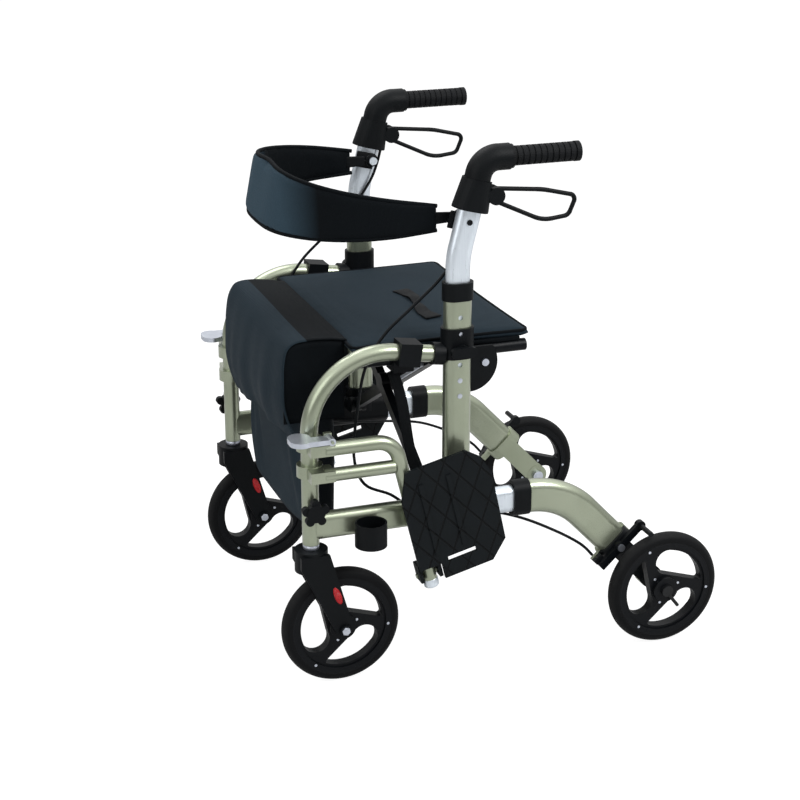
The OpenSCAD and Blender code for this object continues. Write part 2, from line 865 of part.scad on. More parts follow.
module footplate() {
  inner_z = hanger_d / 2 + 1.5;
  edge = plate_w - 18;
  color(black)
    in_side(hanger_x)
      translate([hinge[0], hinge[1], 0])
        rotate([0, 0, hanger_lean])
          difference() {
            union() {
              translate([0, 0, inner_z])
                linear_extrude(plate_t)
                  polygon([
                    [-18, 16], [-18, plate_h - 48], [0, plate_h], [edge - 34, plate_h],
                    [edge - 12, plate_h - 20], [edge, plate_h - 52], [edge - 3, 18],
                    [edge - 32, -12], [21, -12], [21, 16]]);
              for (x = [14, 62])
                translate([x, 34, inner_z + plate_t - 1])
                  cube([8, plate_h - 62, 3]);
              for (k = [-1, 1])
                translate([k * 16.5 - 3, -8, -8])
                  cube([6, 32, inner_z + 10]);
            }
            translate([33, 15, inner_z - 1])
              cube([50, 9, plate_t + 4]);
            rotate([0, 90, 0])
              cylinder(d = 8 + 2 * run_fit, h = 60, center = true);
          }
}

module release_lever() {
  pin = [leg_y + 21, hanger_top_z + 19];
  color(silver)
    difference() {
      union() {
        translate([hanger_x, leg_y - 20, pin[1] - 4])
          cube([22, 41, 8]);
        translate([hanger_x + 1, leg_y - 25, pin[1] - 4])
          linear_extrude(8)
            oval(48, 36);
        across(hanger_x, hanger_x + 22, pin, 12);
      }
      across(hanger_x - 1, hanger_x + 30, pin, 5 + 2 * run_fit);
    }
}

// Hand knobs
module height_knob() {
  face_x = side_x + post_t / 2 + 4 + slide_gap;
  color(black) {
    across(side_x + post_t / 2 - 2, face_x + 4, [post_y, knob_z], hole_d - 0.4);
    across(face_x, face_x + 8, [post_y, knob_z], 20);
    in_side(face_x + 7)
      translate([post_y, knob_z, 0])
        linear_extrude(10)
          oval(44, 16);
  }
}

module star_knob() {
  face_x = side_x + leg_d / 2 + slide_gap;
  color(black) {
    across(face_x, face_x + 8, [leg_y, rail_z + 34], 14);
    across(face_x + 7, face_x + 19, [leg_y, rail_z + 34], 30);
    for (a = [18 : 72 : 306])
      across(face_x + 8, face_x + 18, [leg_y + 16 * cos(a), rail_z + 34 + 16 * sin(a)], 14);
  }
}

// Cup on the lower rail for a walking stick
module cane_cup() {
  centre = [side_x + rail_t / 2 + 27, leg_y + 88];
  color(black)
    difference() {
      union() {
        translate([centre[0], centre[1], rail_z - 29])
          cylinder(d = 52, h = 40);
        translate([side_x + rail_t / 2, centre[1] - 12, rail_z - 9])
          cube([6, 24, 18]);
      }
      translate([centre[0], centre[1], rail_z - 25])
        cylinder(d = 46, h = 60);
    }
}

// Folding cross brace under the seat
module brace_bar(y, low_d, top_d) {
  translate([brace_half, y, brace_low_z])
    rotate([0, brace_angle - 180, 0])
      rotate([90, 0, 0]) {
        translate([0, -brace_w / 2, -brace_t / 2])
          cube([brace_len, brace_w, brace_t]);
        cylinder(d = low_d, h = brace_t, center = true);
        translate([brace_len, 0, 0])
          cylinder(d = top_d, h = brace_t, center = true);
        translate([brace_len / 2, 0, 0])
          cylinder(d = 32, h = brace_t, center = true);
      }
}

module along_y(x, y0, y1, z, d) {
  translate([x, y1, z])
    rotate([90, 0, 0])
      cylinder(d = d, h = y1 - y0);
}

module brace_arm_front() {
  y = brace_front_y;
  color(black)
    difference() {
      union() {
        brace_bar(y, 26, 28);
        along_y(brace_half, y - 14.5, y + 14.5, brace_low_z, 14);
        along_y(0, y, brace_rear_y + 12, brace_mid_z, 12);
        along_y(0, brace_rear_y + brace_t / 2 + slide_gap, brace_rear_y + 12, brace_mid_z, 22);
        along_y(0, y, brace_rear_y - brace_t / 2 - slide_gap, brace_mid_z, 22);
      }
      along_y(-brace_half, y - 20, y + 20, seat_rail_z, seat_rail_d + 2 * run_fit);
    }
}

module brace_arm_rear() {
  y = brace_rear_y;
  color(black)
    difference() {
      union() {
        flip()
          brace_bar(y, 26, 28);
        along_y(-brace_half, y - 14.5, y + 14.5, brace_low_z, 14);
      }
      along_y(brace_half, y - 20, y + 20, seat_rail_z, seat_rail_d + 2 * run_fit);
      along_y(0, y - 20, y + 20, brace_mid_z, 12 + 2 * run_fit);
    }
}

module seat_rail() {
  color(black)
    difference() {
      along_y(brace_half, seat_front_y + 12, seat_back_y - 8, seat_rail_z, seat_rail_d);
      along_y(brace_half, seat_front_y, seat_back_y, seat_rail_z, seat_rail_d - 2 * tube_wall);
    }
}

// Padded seat with drawn-in edges and hems that lie on the seat rails
function seat_point(u, v, rise) = [
  u * (seat_w / 2 - 4 * (1 - v * v)),
  seat_mid_y + v * (seat_depth / 2 - 3 * (1 - u * u)),
  seat_z + rise * (seat_edge_t + seat_crown * (1 - pow(u, 4)) * (1 - pow(v, 4)))];

module seat() {
  n = 16;
  m = 12;
  row = m + 1;
  half = (n + 1) * row;
  points = [for (rise = [0, 1], i = [0 : n], j = [0 : m])
    seat_point(2 * i / n - 1, 2 * j / m - 1, rise)];
  top = [for (i = [0 : n - 1], j = [0 : m - 1]) let (a = half + i * row + j)
    [a, a + 1, a + row + 1, a + row]];
  under = [for (i = [0 : n - 1], j = [0 : m - 1]) let (a = i * row + j)
    [a, a + row, a + row + 1, a + 1]];
  front = [for (i = [0 : n - 1]) let (a = i * row) [a, a + half, a + half + row, a + row]];
  back = [for (i = [0 : n - 1]) let (a = i * row + m) [a + row, a + half + row, a + half, a]];
  low = [for (j = [0 : m - 1]) [j + 1, j + 1 + half, j + half, j]];
  high = [for (j = [0 : m - 1]) let (a = n * row + j) [a, a + half, a + half + 1, a + 1]];
  color(cloth) {
    polyhedron(points, [for (q = concat(top, under, front, back, low, high)) each split(q)]);
    for (x = [-1, 1], y = [[seat_front_y + 14, 48], [brace_rear_y + 20, 118]])
      translate([x * brace_half - 7, y[0], seat_z - 5.2])
        cube([14, y[1], 6]);
  }
}

// Bag under the seat's front edge: an open pouch with a lid that drapes over its front
module bag_plan(shrink) {
  w = bag_w / 2 - 20;
  d = bag_depth / 2 - 20;
  r = 20 - shrink;
  square([2 * w, 2 * (d + r)], center = true);
  square([2 * (w + r), 2 * d], center = true);
  for (x = [-w, w], y = [-d, d])
    translate([x, y])
      circle(r = r);
}

module bag() {
  mid_y = bag_back_y - bag_depth / 2;
  lid = [
    [seat_front_y - slide_gap, seat_z + 7], [bag_back_y - 84, seat_z + 22],
    [bag_back_y - 106, bag_rim_z - 70], [bag_back_y - 86, bag_rim_z - 132]];
  color(cloth) {
    difference() {
      translate([0, mid_y, bag_floor_z])
        linear_extrude(bag_rim_z - bag_floor_z)
          bag_plan(0);
      translate([0, mid_y, bag_floor_z + 5])
        linear_extrude(bag_rim_z)
          bag_plan(4);
    }
    translate([-bag_w / 2 + 24, bag_back_y - 4, bag_rim_z - 10])
      cube([bag_w - 48, 4, seat_z + 18 - bag_rim_z]);
    in_side(0)
      bent(lid, [24, 110]) {
        square([5, bag_w], center = true);
        square([5 - step, bag_w - step], center = true);
      }
  }
}

// Backrest: a padded band bent round the front, flipped over on its two pins
function smooth(t) = t * t * (3 - 2 * t);
function back_side(k) = [[back_half, back_end_y + (back_front_y + back_r - back_end_y) * k], -90, 0.42 * k];
function back_turn(k) = [
  [back_half - back_r * (1 - cos(90 * k)), back_front_y + back_r * (1 - sin(90 * k))],
  -90 - 90 * k, 0.42 + 0.4 * k];
function back_other(s) = [[-s[0][0], s[0][1]], 360 - s[1] - 2 * 180, s[2]];

function back_ring(s) = let (
  place = s[0],
  out = [-sin(s[1]), cos(s[1])],
  h = back_end_h + (back_mid_h - back_end_h) * smooth(min(1, s[2] * 1.15)),
  z = back_pin_z + 2 * s[2],
  half = back_t / 2,
  slant = back_lean * s[2] * h)
  [for (q = [[-0.5, -0.5], [0.5, -0.5], [1, -0.3], [1, 0.3], [0.5, 0.5], [-0.5, 0.5], [-1, 0.3], [-1, -0.3]])
    let (reach = q[0] * half - q[1] * slant)
    [place[0] + out[0] * reach, place[1] + out[1] * reach, z + q[1] * h]];

module backrest() {
  left = concat([for (k = [0 : 0.25 : 0.75]) back_side(k)], [for (k = [0 : 0.125 : 1]) back_turn(k)]);
  count = len(left) - 1;
  right = [for (k = [count : -1 : 0]) back_other(left[k])];
  middle = [[0, back_front_y], -180, 1];
  color(cloth)
    difference() {
      union() {
        skin([for (s = concat(left, [middle], right)) back_ring(s)]);
        for (x = [-1, 1]) {
          translate([x * back_half - 3, back_end_y - 10, back_pin_z - 9])
            cube([6, back_pin_y - back_end_y + 10, 18]);
          across(x * back_half - 3, x * back_half + 3, [back_pin_y, back_pin_z], 22);
        }
      }
      across(-back_half - 20, back_half + 20, [back_pin_y, back_pin_z], 8.4);
    }
}

front_leg();  // front_leg_left
flip() front_leg();  // front_leg_right
lower_rail();  // lower_rail_left
flip() lower_rail();  // lower_rail_right
joint_block(brace_front_y);  // joint_block_left
flip() joint_block(brace_rear_y);  // joint_block_right
post();  // post_left
flip() post();  // post_right
post_collar();  // post_collar_left
flip() post_collar();  // post_collar_right
seat_bracket();  // seat_bracket_left
flip() seat_bracket();  // seat_bracket_right
rail_cradle();  // rail_cradle_left
flip() rail_cradle();  // rail_cradle_right
coupling();  // coupling_left
flip() coupling();  // coupling_right
coupling_band();  // coupling_band_left
flip() coupling_band();  // coupling_band_right
rear_leg();  // rear_leg_left
flip() rear_leg();  // rear_leg_right
axle_bracket();  // axle_bracket_left
flip() axle_bracket();  // axle_bracket_right
frame_bolts();  // frame_bolts_left
flip() frame_bolts();  // frame_bolts_right
brake_cable();  // brake_cable_left
flip() brake_cable();  // brake_cable_right
caster_fork();  // caster_fork_left
flip() caster_fork();  // caster_fork_right
front_wheel();  // front_wheel_left
flip() front_wheel();  // front_wheel_right
rear_wheel();  // rear_wheel_left
flip() rear_wheel();  // rear_wheel_right
handle_tube();  // handle_tube_left
flip() handle_tube();  // handle_tube_right
handle_housing();  // handle_housing_left
flip() handle_housing();  // handle_housing_right
grip();  // grip_left
flip() grip();  // grip_right
brake_lever();  // brake_lever_left
flip() brake_lever();  // brake_lever_right
brake_arm();  // brake_arm_left
flip() brake_arm();  // brake_arm_right
hanger();  // hanger_left
flip() hanger();  // hanger_right
footplate();  // footplate_left
flip() footplate();  // footplate_right
release_lever();  // release_lever_left
flip() release_lever();  // release_lever_right
height_knob();  // height_knob_left
flip() height_knob();  // height_knob_right
star_knob();  // star_knob_left
flip() star_knob();  // star_knob_right
cane_cup();
brace_arm_front();
brace_arm_rear();
seat_rail();  // seat_rail_left
flip() seat_rail();  // seat_rail_right
seat();
bag();
backrest();
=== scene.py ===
import json
import math

import bmesh
import bpy
import numpy as np
from mathutils import Matrix, Vector


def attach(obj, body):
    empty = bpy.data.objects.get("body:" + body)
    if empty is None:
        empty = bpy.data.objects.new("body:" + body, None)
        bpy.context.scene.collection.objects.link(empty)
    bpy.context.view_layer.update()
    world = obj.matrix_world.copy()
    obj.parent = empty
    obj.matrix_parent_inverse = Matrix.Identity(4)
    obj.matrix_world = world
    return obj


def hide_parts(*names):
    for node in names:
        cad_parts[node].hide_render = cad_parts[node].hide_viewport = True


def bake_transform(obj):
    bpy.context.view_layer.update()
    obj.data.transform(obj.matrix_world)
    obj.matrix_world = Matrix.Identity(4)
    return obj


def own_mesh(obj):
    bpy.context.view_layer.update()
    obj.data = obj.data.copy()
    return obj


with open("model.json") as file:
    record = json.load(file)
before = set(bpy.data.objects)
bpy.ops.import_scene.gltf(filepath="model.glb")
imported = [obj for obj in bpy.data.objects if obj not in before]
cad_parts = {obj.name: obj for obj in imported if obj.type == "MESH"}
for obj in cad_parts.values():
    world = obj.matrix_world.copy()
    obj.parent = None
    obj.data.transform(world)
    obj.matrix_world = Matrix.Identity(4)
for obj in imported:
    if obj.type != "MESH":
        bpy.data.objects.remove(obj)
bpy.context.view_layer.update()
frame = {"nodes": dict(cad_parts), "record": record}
nodes = frame["nodes"]
sides = (("left", 1), ("right", -1))
jointOf = {joint["name"]: joint for joint in frame["record"]["behaviour"]["joints"]}
frontHub, rearHub = [jointOf[f"{end}_wheel_spin_left"]["pos_m"] for end in ("front", "rear")]
casterStem = jointOf["caster_swivel_left"]["pos_m"]
print("frame loaded")


# camera at the photograph's angle
shot = {
    "target": (0, -0.0887, 0.3808), "distance": 3.1835, "azimuth": 70.41, "elevation": 19.91,
    "lens": 82.6, "sensor": 36}


def placeCamera():
    turn, rise = math.radians(shot["azimuth"]), math.radians(shot["elevation"])
    back = Vector((math.sin(turn) * math.cos(rise), -math.cos(turn) * math.cos(rise), math.sin(rise)))
    data = bpy.data.cameras.new("shotCamera")
    data.lens, data.sensor_width = shot["lens"], shot["sensor"]
    camera = bpy.data.objects.new("shotCamera", data)
    bpy.context.collection.objects.link(camera)
    camera.location = Vector(shot["target"]) + back * shot["distance"]
    camera.rotation_mode = "QUATERNION"
    camera.rotation_quaternion = (-back).to_track_quat("-Z", "Y")
    bpy.context.scene.camera = camera


placeCamera()


# shader expressions
def tone(r, g, b):  # screen colour, 0 to 255
    def linear(c):
        c /= 255
        return c / 12.92 if c <= 0.04045 else ((c + 0.055) / 1.055) ** 2.4
    return (linear(r), linear(g), linear(b), 1)


class Wire:  # one output socket that takes part in sums
    def __init__(self, finish, socket):
        self.finish, self.socket = finish, socket

    def math(self, operation, *values):
        return self.finish.node("Math", {"operation": operation}, dict(enumerate(values)))

    def __add__(self, other):
        return self.math("ADD", self, other)

    def __sub__(self, other):
        return self.math("SUBTRACT", self, other)

    def __rsub__(self, other):
        return self.math("SUBTRACT", other, self)

    def __mul__(self, other):
        return self.math("MULTIPLY", self, other)

    def __pow__(self, other):
        return self.math("POWER", self, other)

    def __gt__(self, other):
        return self.math("GREATER_THAN", self, other)

    def __lt__(self, other):
        return self.math("LESS_THAN", self, other)

    def __abs__(self):
        return self.math("ABSOLUTE", self)

    def wave(self):
        return self.math("SINE", self)

    def highest(self, other):
        return self.math("MAXIMUM", self, other)

    __radd__, __rmul__ = __add__, __mul__


class Finish:  # one material and the nodes behind it
    def __init__(self, name, fixed):
        self.material = bpy.data.materials.new(name)
        self.material.use_nodes = True
        self.tree = self.material.node_tree
        self.shader = self.tree.nodes["Principled BSDF"]
        for socket, value in fixed.items():
            self.shader.inputs[socket].default_value = value

    def node(self, kind, settings=None, sockets=None, out=0):
        made = self.tree.nodes.new("ShaderNode" + kind)
        for key, value in (settings or {}).items():
            setattr(made, key, value)
        for key, value in (sockets or {}).items():
            if isinstance(value, Wire):
                self.tree.links.new(value.socket, made.inputs[key])
            else:
                made.inputs[key].default_value = value
        return Wire(self, made.outputs[out])

    def place(self):
        return self.node("TexCoord", out="Object")

    def axes(self):
        split = self.node("SeparateXYZ", None, {0: self.place()})
        return [Wire(self, split.socket.node.outputs[k]) for k in range(3)]

    def noise(self, scale, detail=2, stretch=None):
        place = self.place()
        if stretch:
            place = self.node("VectorMath", {"operation": "MULTIPLY"}, {0: place, 1: stretch})
        return self.node("TexNoise", None, {"Vector": place, "Scale": scale, "Detail": detail})

    def mix(self, factor, one, two):
        return self.node("Mix", {"data_type": "RGBA"}, {0: factor, 6: one, 7: two}, out=2)

    def between(self, look, factor):  # from the look's dark tone at 0 to its light one at 1
        return self.mix(factor, tone(*look["dark"]), tone(*look["light"]))

    def step(self, value, low, high):  # 0 below low, 1 above high
        return self.node("MapRange", None, {0: value, 1: low, 2: high, 3: 0, 4: 1})

    def paint(self, **wires):
        for key, value in wires.items():
            socket = {"colour": "Base Color", "rough": "Roughness", "metal": "Metallic"}[key]
            self.tree.links.new(value.socket, self.shader.inputs[socket])

    def bump(self, height, depth, strength):
        made = self.node("Bump", None, {"Height": height, "Distance": depth, "Strength": strength})
        self.tree.links.new(made.socket, self.shader.inputs["Normal"])


# painted frame
champagneCoat = {
    "light": (174, 180, 160), "dark": (124, 133, 111), "metal": 0.72, "rough": 0.24,
    "cloud": 14, "flake": 2200, "rub": 55, "rubFrom": 0.66, "rubTo": 0.78, "bump": (0.00004, 0.4)}


def coatColour(f):
    cloud, flake = f.noise(champagneCoat["cloud"], 3), f.noise(champagneCoat["flake"], 1)
    return cloud, flake, f.between(champagneCoat, 0.55 * cloud + 0.45 * flake)


def makeChampagne():
    f = Finish("champagneCoat", {"Coat Weight": 0.5, "Coat Roughness": 0.1, "Specular IOR Level": 0.5})
    cloud, flake, colour = coatColour(f)
    # faint handling marks
    rub = f.step(f.noise(champagneCoat["rub"], 6), champagneCoat["rubFrom"], champagneCoat["rubTo"])
    f.paint(
        colour=colour,
        rough=champagneCoat["rough"] + 0.1 * flake + 0.08 * rub,
        metal=champagneCoat["metal"] + 0.2 * flake)
    f.bump(flake, *champagneCoat["bump"])
    return f.material


# drawn handle tubes
silverTube = {
    "light": (236, 243, 250), "dark": (198, 208, 217), "metal": 0.55, "rough": 0.22,
    "streak": (900, 900, 22), "cloud": 20, "bump": (0.00003, 0.5)}


def makeSilver():
    f = Finish("silverTube", {"Specular IOR Level": 0.5})
    streak = f.noise(1, 4, silverTube["streak"])  # drawn along the tube
    cloud = f.noise(silverTube["cloud"], 2)
    f.paint(
        colour=f.between(silverTube, 0.6 * streak + 0.4 * cloud),
        rough=silverTube["rough"] + 0.16 * streak,
        metal=silverTube["metal"] + 0.1 * cloud)
    f.bump(streak, *silverTube["bump"])
    return f.material


# bolts, axles and release paddles
brightSteel = {
    "light": (214, 219, 228), "dark": (172, 178, 190), "lever": (12, 14, 16), "metal": 0.85, "rough": 0.24,
    "leverFrom": 0.3138, "leverBelow": 0.15, "cloud": 60, "fine": 1800, "bump": (0.00003, 0.5)}


def makeSteel():
    f = Finish("brightSteel", {"Specular IOR Level": 0.3})
    cloud, fine = f.noise(brightSteel["cloud"], 4), f.noise(brightSteel["fine"], 2)
    x, y, z = f.axes()
    black = (abs(x) > brightSteel["leverFrom"]) * (z < brightSteel["leverBelow"])  # levers on the axle ends
    f.paint(
        colour=f.mix(black, f.between(brightSteel, cloud), tone(*brightSteel["lever"])),
        rough=brightSteel["rough"] + 0.18 * fine + 0.15 * black,
        metal=(brightSteel["metal"] + 0.1 * cloud) * (1 - black))
    f.bump(fine, *brightSteel["bump"])
    return f.material


# black mouldings, cable covers and coated tubes
blackMoulding = {
    "light": (13, 17, 20), "dark": (5, 7, 9), "rough": 0.42, "grain": 1400, "bump": (0.00012, 0.6)}
cableCover = {**blackMoulding, "rough": 0.32, "bump": (0.00006, 0.6)}
blackTube = {"light": (16, 20, 24), "dark": (7, 9, 12), "rough": 0.3, "grain": 1600, "bump": (0.00005, 0.6)}
scuffs = {"cloud": 26, "scale": 70, "from": 0.68, "to": 0.8}


def makeMoulding(name, look):
    f = Finish(name, {"Specular IOR Level": 0.12})
    cloud, grain = f.noise(scuffs["cloud"], 3), f.noise(look["grain"], 3)
    scuff = f.step(f.noise(scuffs["scale"], 6), scuffs["from"], scuffs["to"])
    f.paint(
        colour=f.between(look, 0.7 * cloud + 0.3 * scuff),
        rough=look["rough"] + 0.14 * grain - 0.08 * scuff)
    f.bump(grain, *look["bump"])
    return f.material


# axle brackets, with the frame's coat on their inner side
bracketPaint = {"edge": 0.252, "blur": 0.0004, "rough": 0.44}


def makeBracketPaint():
    f = Finish("bracketPaint", {"Specular IOR Level": 0.3})
    x, y, z = f.axes()
    edge, blur = bracketPaint["edge"], bracketPaint["blur"]
    inner = 1 - f.step(abs(x), edge - blur, edge + blur)
    cloud, flake, coat = coatColour(f)
    f.paint(
        colour=f.mix(inner, f.between(blackMoulding, cloud), coat),
        rough=bracketPaint["rough"] - 0.12 * inner + 0.1 * flake,
        metal=inner * champagneCoat["metal"])
    f.bump(flake, *champagneCoat["bump"])
    return f.material


# wheels: rim and tyre in one
wheelLook = {
    "tyreFrom": 0.0845, "blur": 0.0006, "groove": (0.0002, 0.0011), "tread": (8, 9, 11), "rim": (13, 15, 18),
    "dust": (60, 60, 60), "dustFrom": 0.092, "dustTo": 0.1, "specks": 90, "grain": 1300, "rough": 0.36,
    "bump": (0.0006, 0.7)}


def makeWheel():
    f = Finish("wheelRubber", {"Specular IOR Level": 0.12})
    x, y, z = f.axes()
    out, up = abs(y) - rearHub[1], z - rearHub[2]
    radius = (out * out + up * up) ** 0.5
    edge, blur = wheelLook["tyreFrom"], wheelLook["blur"]
    tyre = f.step(radius, edge - blur, edge + blur)
    seam = 1 - f.step(abs(radius - edge), *wheelLook["groove"])
    worn = f.step(radius, wheelLook["dustFrom"], wheelLook["dustTo"])
    dust = f.noise(wheelLook["specks"], 5) * worn  # pale, on the tread
    grain = f.noise(wheelLook["grain"], 3)
    rubber = f.mix(tyre, tone(*wheelLook["rim"]), tone(*wheelLook["tread"]))
    f.paint(
        colour=f.mix(0.35 * dust, rubber, tone(*wheelLook["dust"])),
        rough=wheelLook["rough"] + 0.22 * tyre + 0.12 * grain)
    f.bump(0.2 * grain - seam, *wheelLook["bump"])
    return f.material


# hand grips
gripLook = {
    "light": (18, 20, 23), "dark": (6, 7, 8), "rough": 0.5, "cloud": 60, "knurl": 2600, "bump": (0.0002, 0.6)}


def makeGrip():
    f = Finish("gripRubber", {"Specular IOR Level": 0.12})
    x, y, z = f.axes()
    ridge = (abs(x) * gripLook["knurl"]).wave() * (z * gripLook["knurl"]).wave()  # between the moulded rings
    cloud = f.noise(gripLook["cloud"], 3)
    f.paint(colour=f.between(gripLook, cloud), rough=gripLook["rough"] + 0.2 * cloud)
    f.bump(ridge, *gripLook["bump"])
    return f.material


# footplates, with two crossing sets of grooves
# groove is the darker tone painted into the grooves, a painted shade
plateLook = {
    "light": (17, 22, 25), "dark": (10, 14, 16), "groove": (5, 7, 8), "rough": 0.46, "grain": 1100,
    "cloud": 30, "lean": 14, "slant": 0.62, "shift": 10, "pitch": 0.038, "line": 0.0022,
    "bump": (0.0016, 0.9)}


def makeFootplate():
    f = Finish("footplatePlastic", {"Specular IOR Level": 0.12})
    x, y, z = f.axes()
    c, s = math.cos(math.radians(plateLook["lean"])), math.sin(math.radians(plateLook["lean"]))
    along, high = c * y + s * z, c * z - s * y
    ribs = []
    for slant in (plateLook["slant"], -plateLook["slant"]):
        across = along + slant * high + plateLook["shift"]  # above zero all over the plate
        phase = f.node("Math", {"operation": "PINGPONG"}, {0: across, 1: plateLook["pitch"] / 2})
        ribs.append(1 - f.step(phase, plateLook["line"] * 0.4, plateLook["line"]))
    lines = ribs[0].highest(ribs[1])
    grain, cloud = f.noise(plateLook["grain"], 3), f.noise(plateLook["cloud"], 3)
    f.paint(
        # the grooves get the darker groove tone, a painted shade in them
        colour=f.mix(lines, f.between(plateLook, cloud), tone(*plateLook["groove"])),
        rough=plateLook["rough"] + 0.16 * grain + 0.1 * lines)
    f.bump(0.12 * grain - lines, *plateLook["bump"])
    return f.material


# cloths
slateCloth = {"light": (41, 52, 60), "dark": (27, 37, 44), "thread": 0.0017, "sheen": 0.004}
darkCloth = {"light": (12, 17, 21), "dark": (5, 7, 9), "thread": 0.0015, "sheen": 0.002}
# the band's look is painted light and shade: the dark cloth tones stand in for the shade on its near side,
# and front (from, to, colour) paints a paler slate sheen where the band faces forward
bandShadeAndSheen = {**darkCloth, "sheen": 0.004, "front": (0.28, 0.322, (54, 72, 84))}
weave = {"cloud": 7, "mottle": 420, "rough": 0.62, "bump": (0.00025, 0.55)}  # shared by all three


def makeCloth(name, look):
    f = Finish(name, {"Sheen Weight": look["sheen"], "Sheen Roughness": 0.5, "Specular IOR Level": 0.06})
    x, y, z = f.axes()
    turn = 2 * math.pi / look["thread"]
    threads = (x * turn).wave() + (y * turn).wave() + (z * turn).wave()
    cloud, mottle = f.noise(weave["cloud"], 4), f.noise(weave["mottle"], 3)
    colour = f.between(look, 0.6 * cloud + 0.3 * mottle + 0.05 * threads)
    if "front" in look:  # painted sheen: the cloth is painted a paler slate where it faces forward
        low, high, pale = look["front"]
        colour = f.mix(f.step(0 - y, low, high) * (0.8 + 0.3 * mottle), colour, tone(*pale))
    f.paint(colour=colour, rough=weave["rough"] + 0.2 * mottle)
    f.bump(0.3 * threads + mottle, *weave["bump"])
    return f.material


# woven straps
webbing = {
    "light": (16, 19, 22), "dark": (6, 8, 10), "rough": 0.6, "cloud": 50, "rib": 0.0022,
    "bump": (0.0003, 0.6)}


def makeWebbing():
    f = Finish("strapWebbing", {"Sheen Weight": 0.02, "Specular IOR Level": 0.1})
    x, y, z = f.axes()
    turn = 2 * math.pi / webbing["rib"]
    rib = ((y + 0.6 * z) * turn).wave() + ((x - z) * turn).wave()
    cloud = f.noise(webbing["cloud"], 3)
    f.paint(colour=f.between(webbing, cloud), rough=webbing["rough"] + 0.15 * cloud)
    f.bump(rib, *webbing["bump"])
    return f.material


# reflectors on the forks
reflectorLook = {
    "light": (206, 14, 26), "dark": (150, 6, 16), "rough": 0.2, "cloud": 300, "cell": 2400,
    "bump": (0.0004, 0.8)}


def makeReflector():
    f = Finish("redReflector", {"Coat Weight": 0.25, "Coat Roughness": 0.05, "Specular IOR Level": 0.3})
    x, y, z = f.axes()
    cell = (y * reflectorLook["cell"]).wave() * (z * reflectorLook["cell"]).wave()
    cloud = f.noise(reflectorLook["cloud"], 2)
    f.paint(colour=f.between(reflectorLook, cloud), rough=reflectorLook["rough"] + 0.1 * cell)
    f.bump(cell, *reflectorLook["bump"])
    return f.material


champagne, silver, steel = makeChampagne(), makeSilver(), makeSteel()
moulding = makeMoulding("blackMoulding", blackMoulding)
sheath = makeMoulding("cableSheath", cableCover)
coatedTube = makeMoulding("coatedTube", blackTube)
wheelRubber, gripRubber, platePlastic = makeWheel(), makeGrip(), makeFootplate()
seatCloth, bagCloth = makeCloth("seatCloth", slateCloth), makeCloth("bagCloth", slateCloth)
bandCloth, gussetCloth = makeCloth("bandCloth", bandShadeAndSheen), makeCloth("gussetCloth", darkCloth)
strapWebbing, redReflector = makeWebbing(), makeReflector()
finishOf = {
    "champagne_frame": champagne, "silver_tube": silver, "black_plastic": moulding, "bright_steel": steel,
    "cable_cover": sheath, "wheel_rubber": wheelRubber, "grip_rubber": gripRubber,
    "footplate_plastic": platePlastic, "black_tube": coatedTube, "seat_fabric": seatCloth,
    "bag_fabric": bagCloth, "backrest_fabric": bandCloth}
for part in frame["record"]["subparts"]:
    mesh = nodes[part["node"]].data
    mesh.materials.clear()
    mesh.materials.append(finishOf[part["material_slot"]])
innerPaint = makeBracketPaint()
for side, k in sides:
    nodes[f"axle_bracket_{side}"].data.materials[0] = innerPaint
print("finishes made")


# mesh helpers
def newPiece(name, points, faces, finish, smooth=True):
    mesh = bpy.data.meshes.new(name)
    mesh.from_pydata([tuple(p) for p in points], [], faces)
    mesh.validate()
    bm = bmesh.new()
    bm.from_mesh(mesh)
    bmesh.ops.recalc_face_normals(bm, faces=bm.faces)
    bm.to_mesh(mesh)
    bm.free()
    piece = bpy.data.objects.new(name, mesh)
    bpy.context.collection.objects.link(piece)
    mesh.materials.append(finish)
    if smooth:
        mesh.shade_smooth()
    return piece


def bake(piece):  # applies every modifier
    bpy.context.view_layer.objects.active = piece
    for modifier in list(piece.modifiers):
        bpy.ops.object.modifier_apply(modifier=modifier.name)


def softEdges(piece, width, angle=35):
    bevel = piece.modifiers.new("softEdges", "BEVEL")
    bevel.width, bevel.segments, bevel.limit_method = width, 2, "ANGLE"
    bevel.angle_limit = math.radians(angle)
    bake(piece)
    piece.data.shade_smooth()
    piece.data.set_sharp_from_angle(angle=math.radians(angle))
    return piece


def thicken(piece, thickness):  # gives a cloth its wall, half to each side
    wall = piece.modifiers.new("wall", "SOLIDIFY")
    wall.thickness, wall.offset = thickness, 0
    bake(piece)


def gridFaces(rows, columns):  # points in rows, one row after the other
    starts = [i * columns + j for i in range(rows - 1) for j in range(columns - 1)]
    return [(a, a + 1, a + columns + 1, a + columns) for a in starts]


def skinRings(rings, closed=False):
    count, size = len(rings), len(rings[0])
    faces = []
    for k in range(count if closed else count - 1):
        a, b = k * size, ((k + 1) % count) * size
        faces += [(a + j, b + j, b + (j + 1) % size, a + (j + 1) % size) for j in range(size)]
    if not closed:
        faces += [tuple(range(size)), tuple(reversed(range((count - 1) * size, count * size)))]
    return [p for ring in rings for p in ring], faces


def smoothLine(points, cuts=6, closed=False):  # a curve through the points
    pts = [Vector(p) for p in points]
    n = len(pts)
    line = []
    for i in range(n if closed else n - 1):
        a, b, c, d = [pts[(i + k) % n] if closed else pts[min(max(i + k, 0), n - 1)] for k in (-1, 0, 1, 2)]
        for k in range(cuts):
            t = k / cuts
            place = 2 * b + (c - a) * t + (2 * a - 5 * b + 4 * c - d) * t * t
            line.append(0.5 * (place + (3 * b - a - 3 * c + d) * t ** 3))
    return line if closed else line + [pts[-1]]


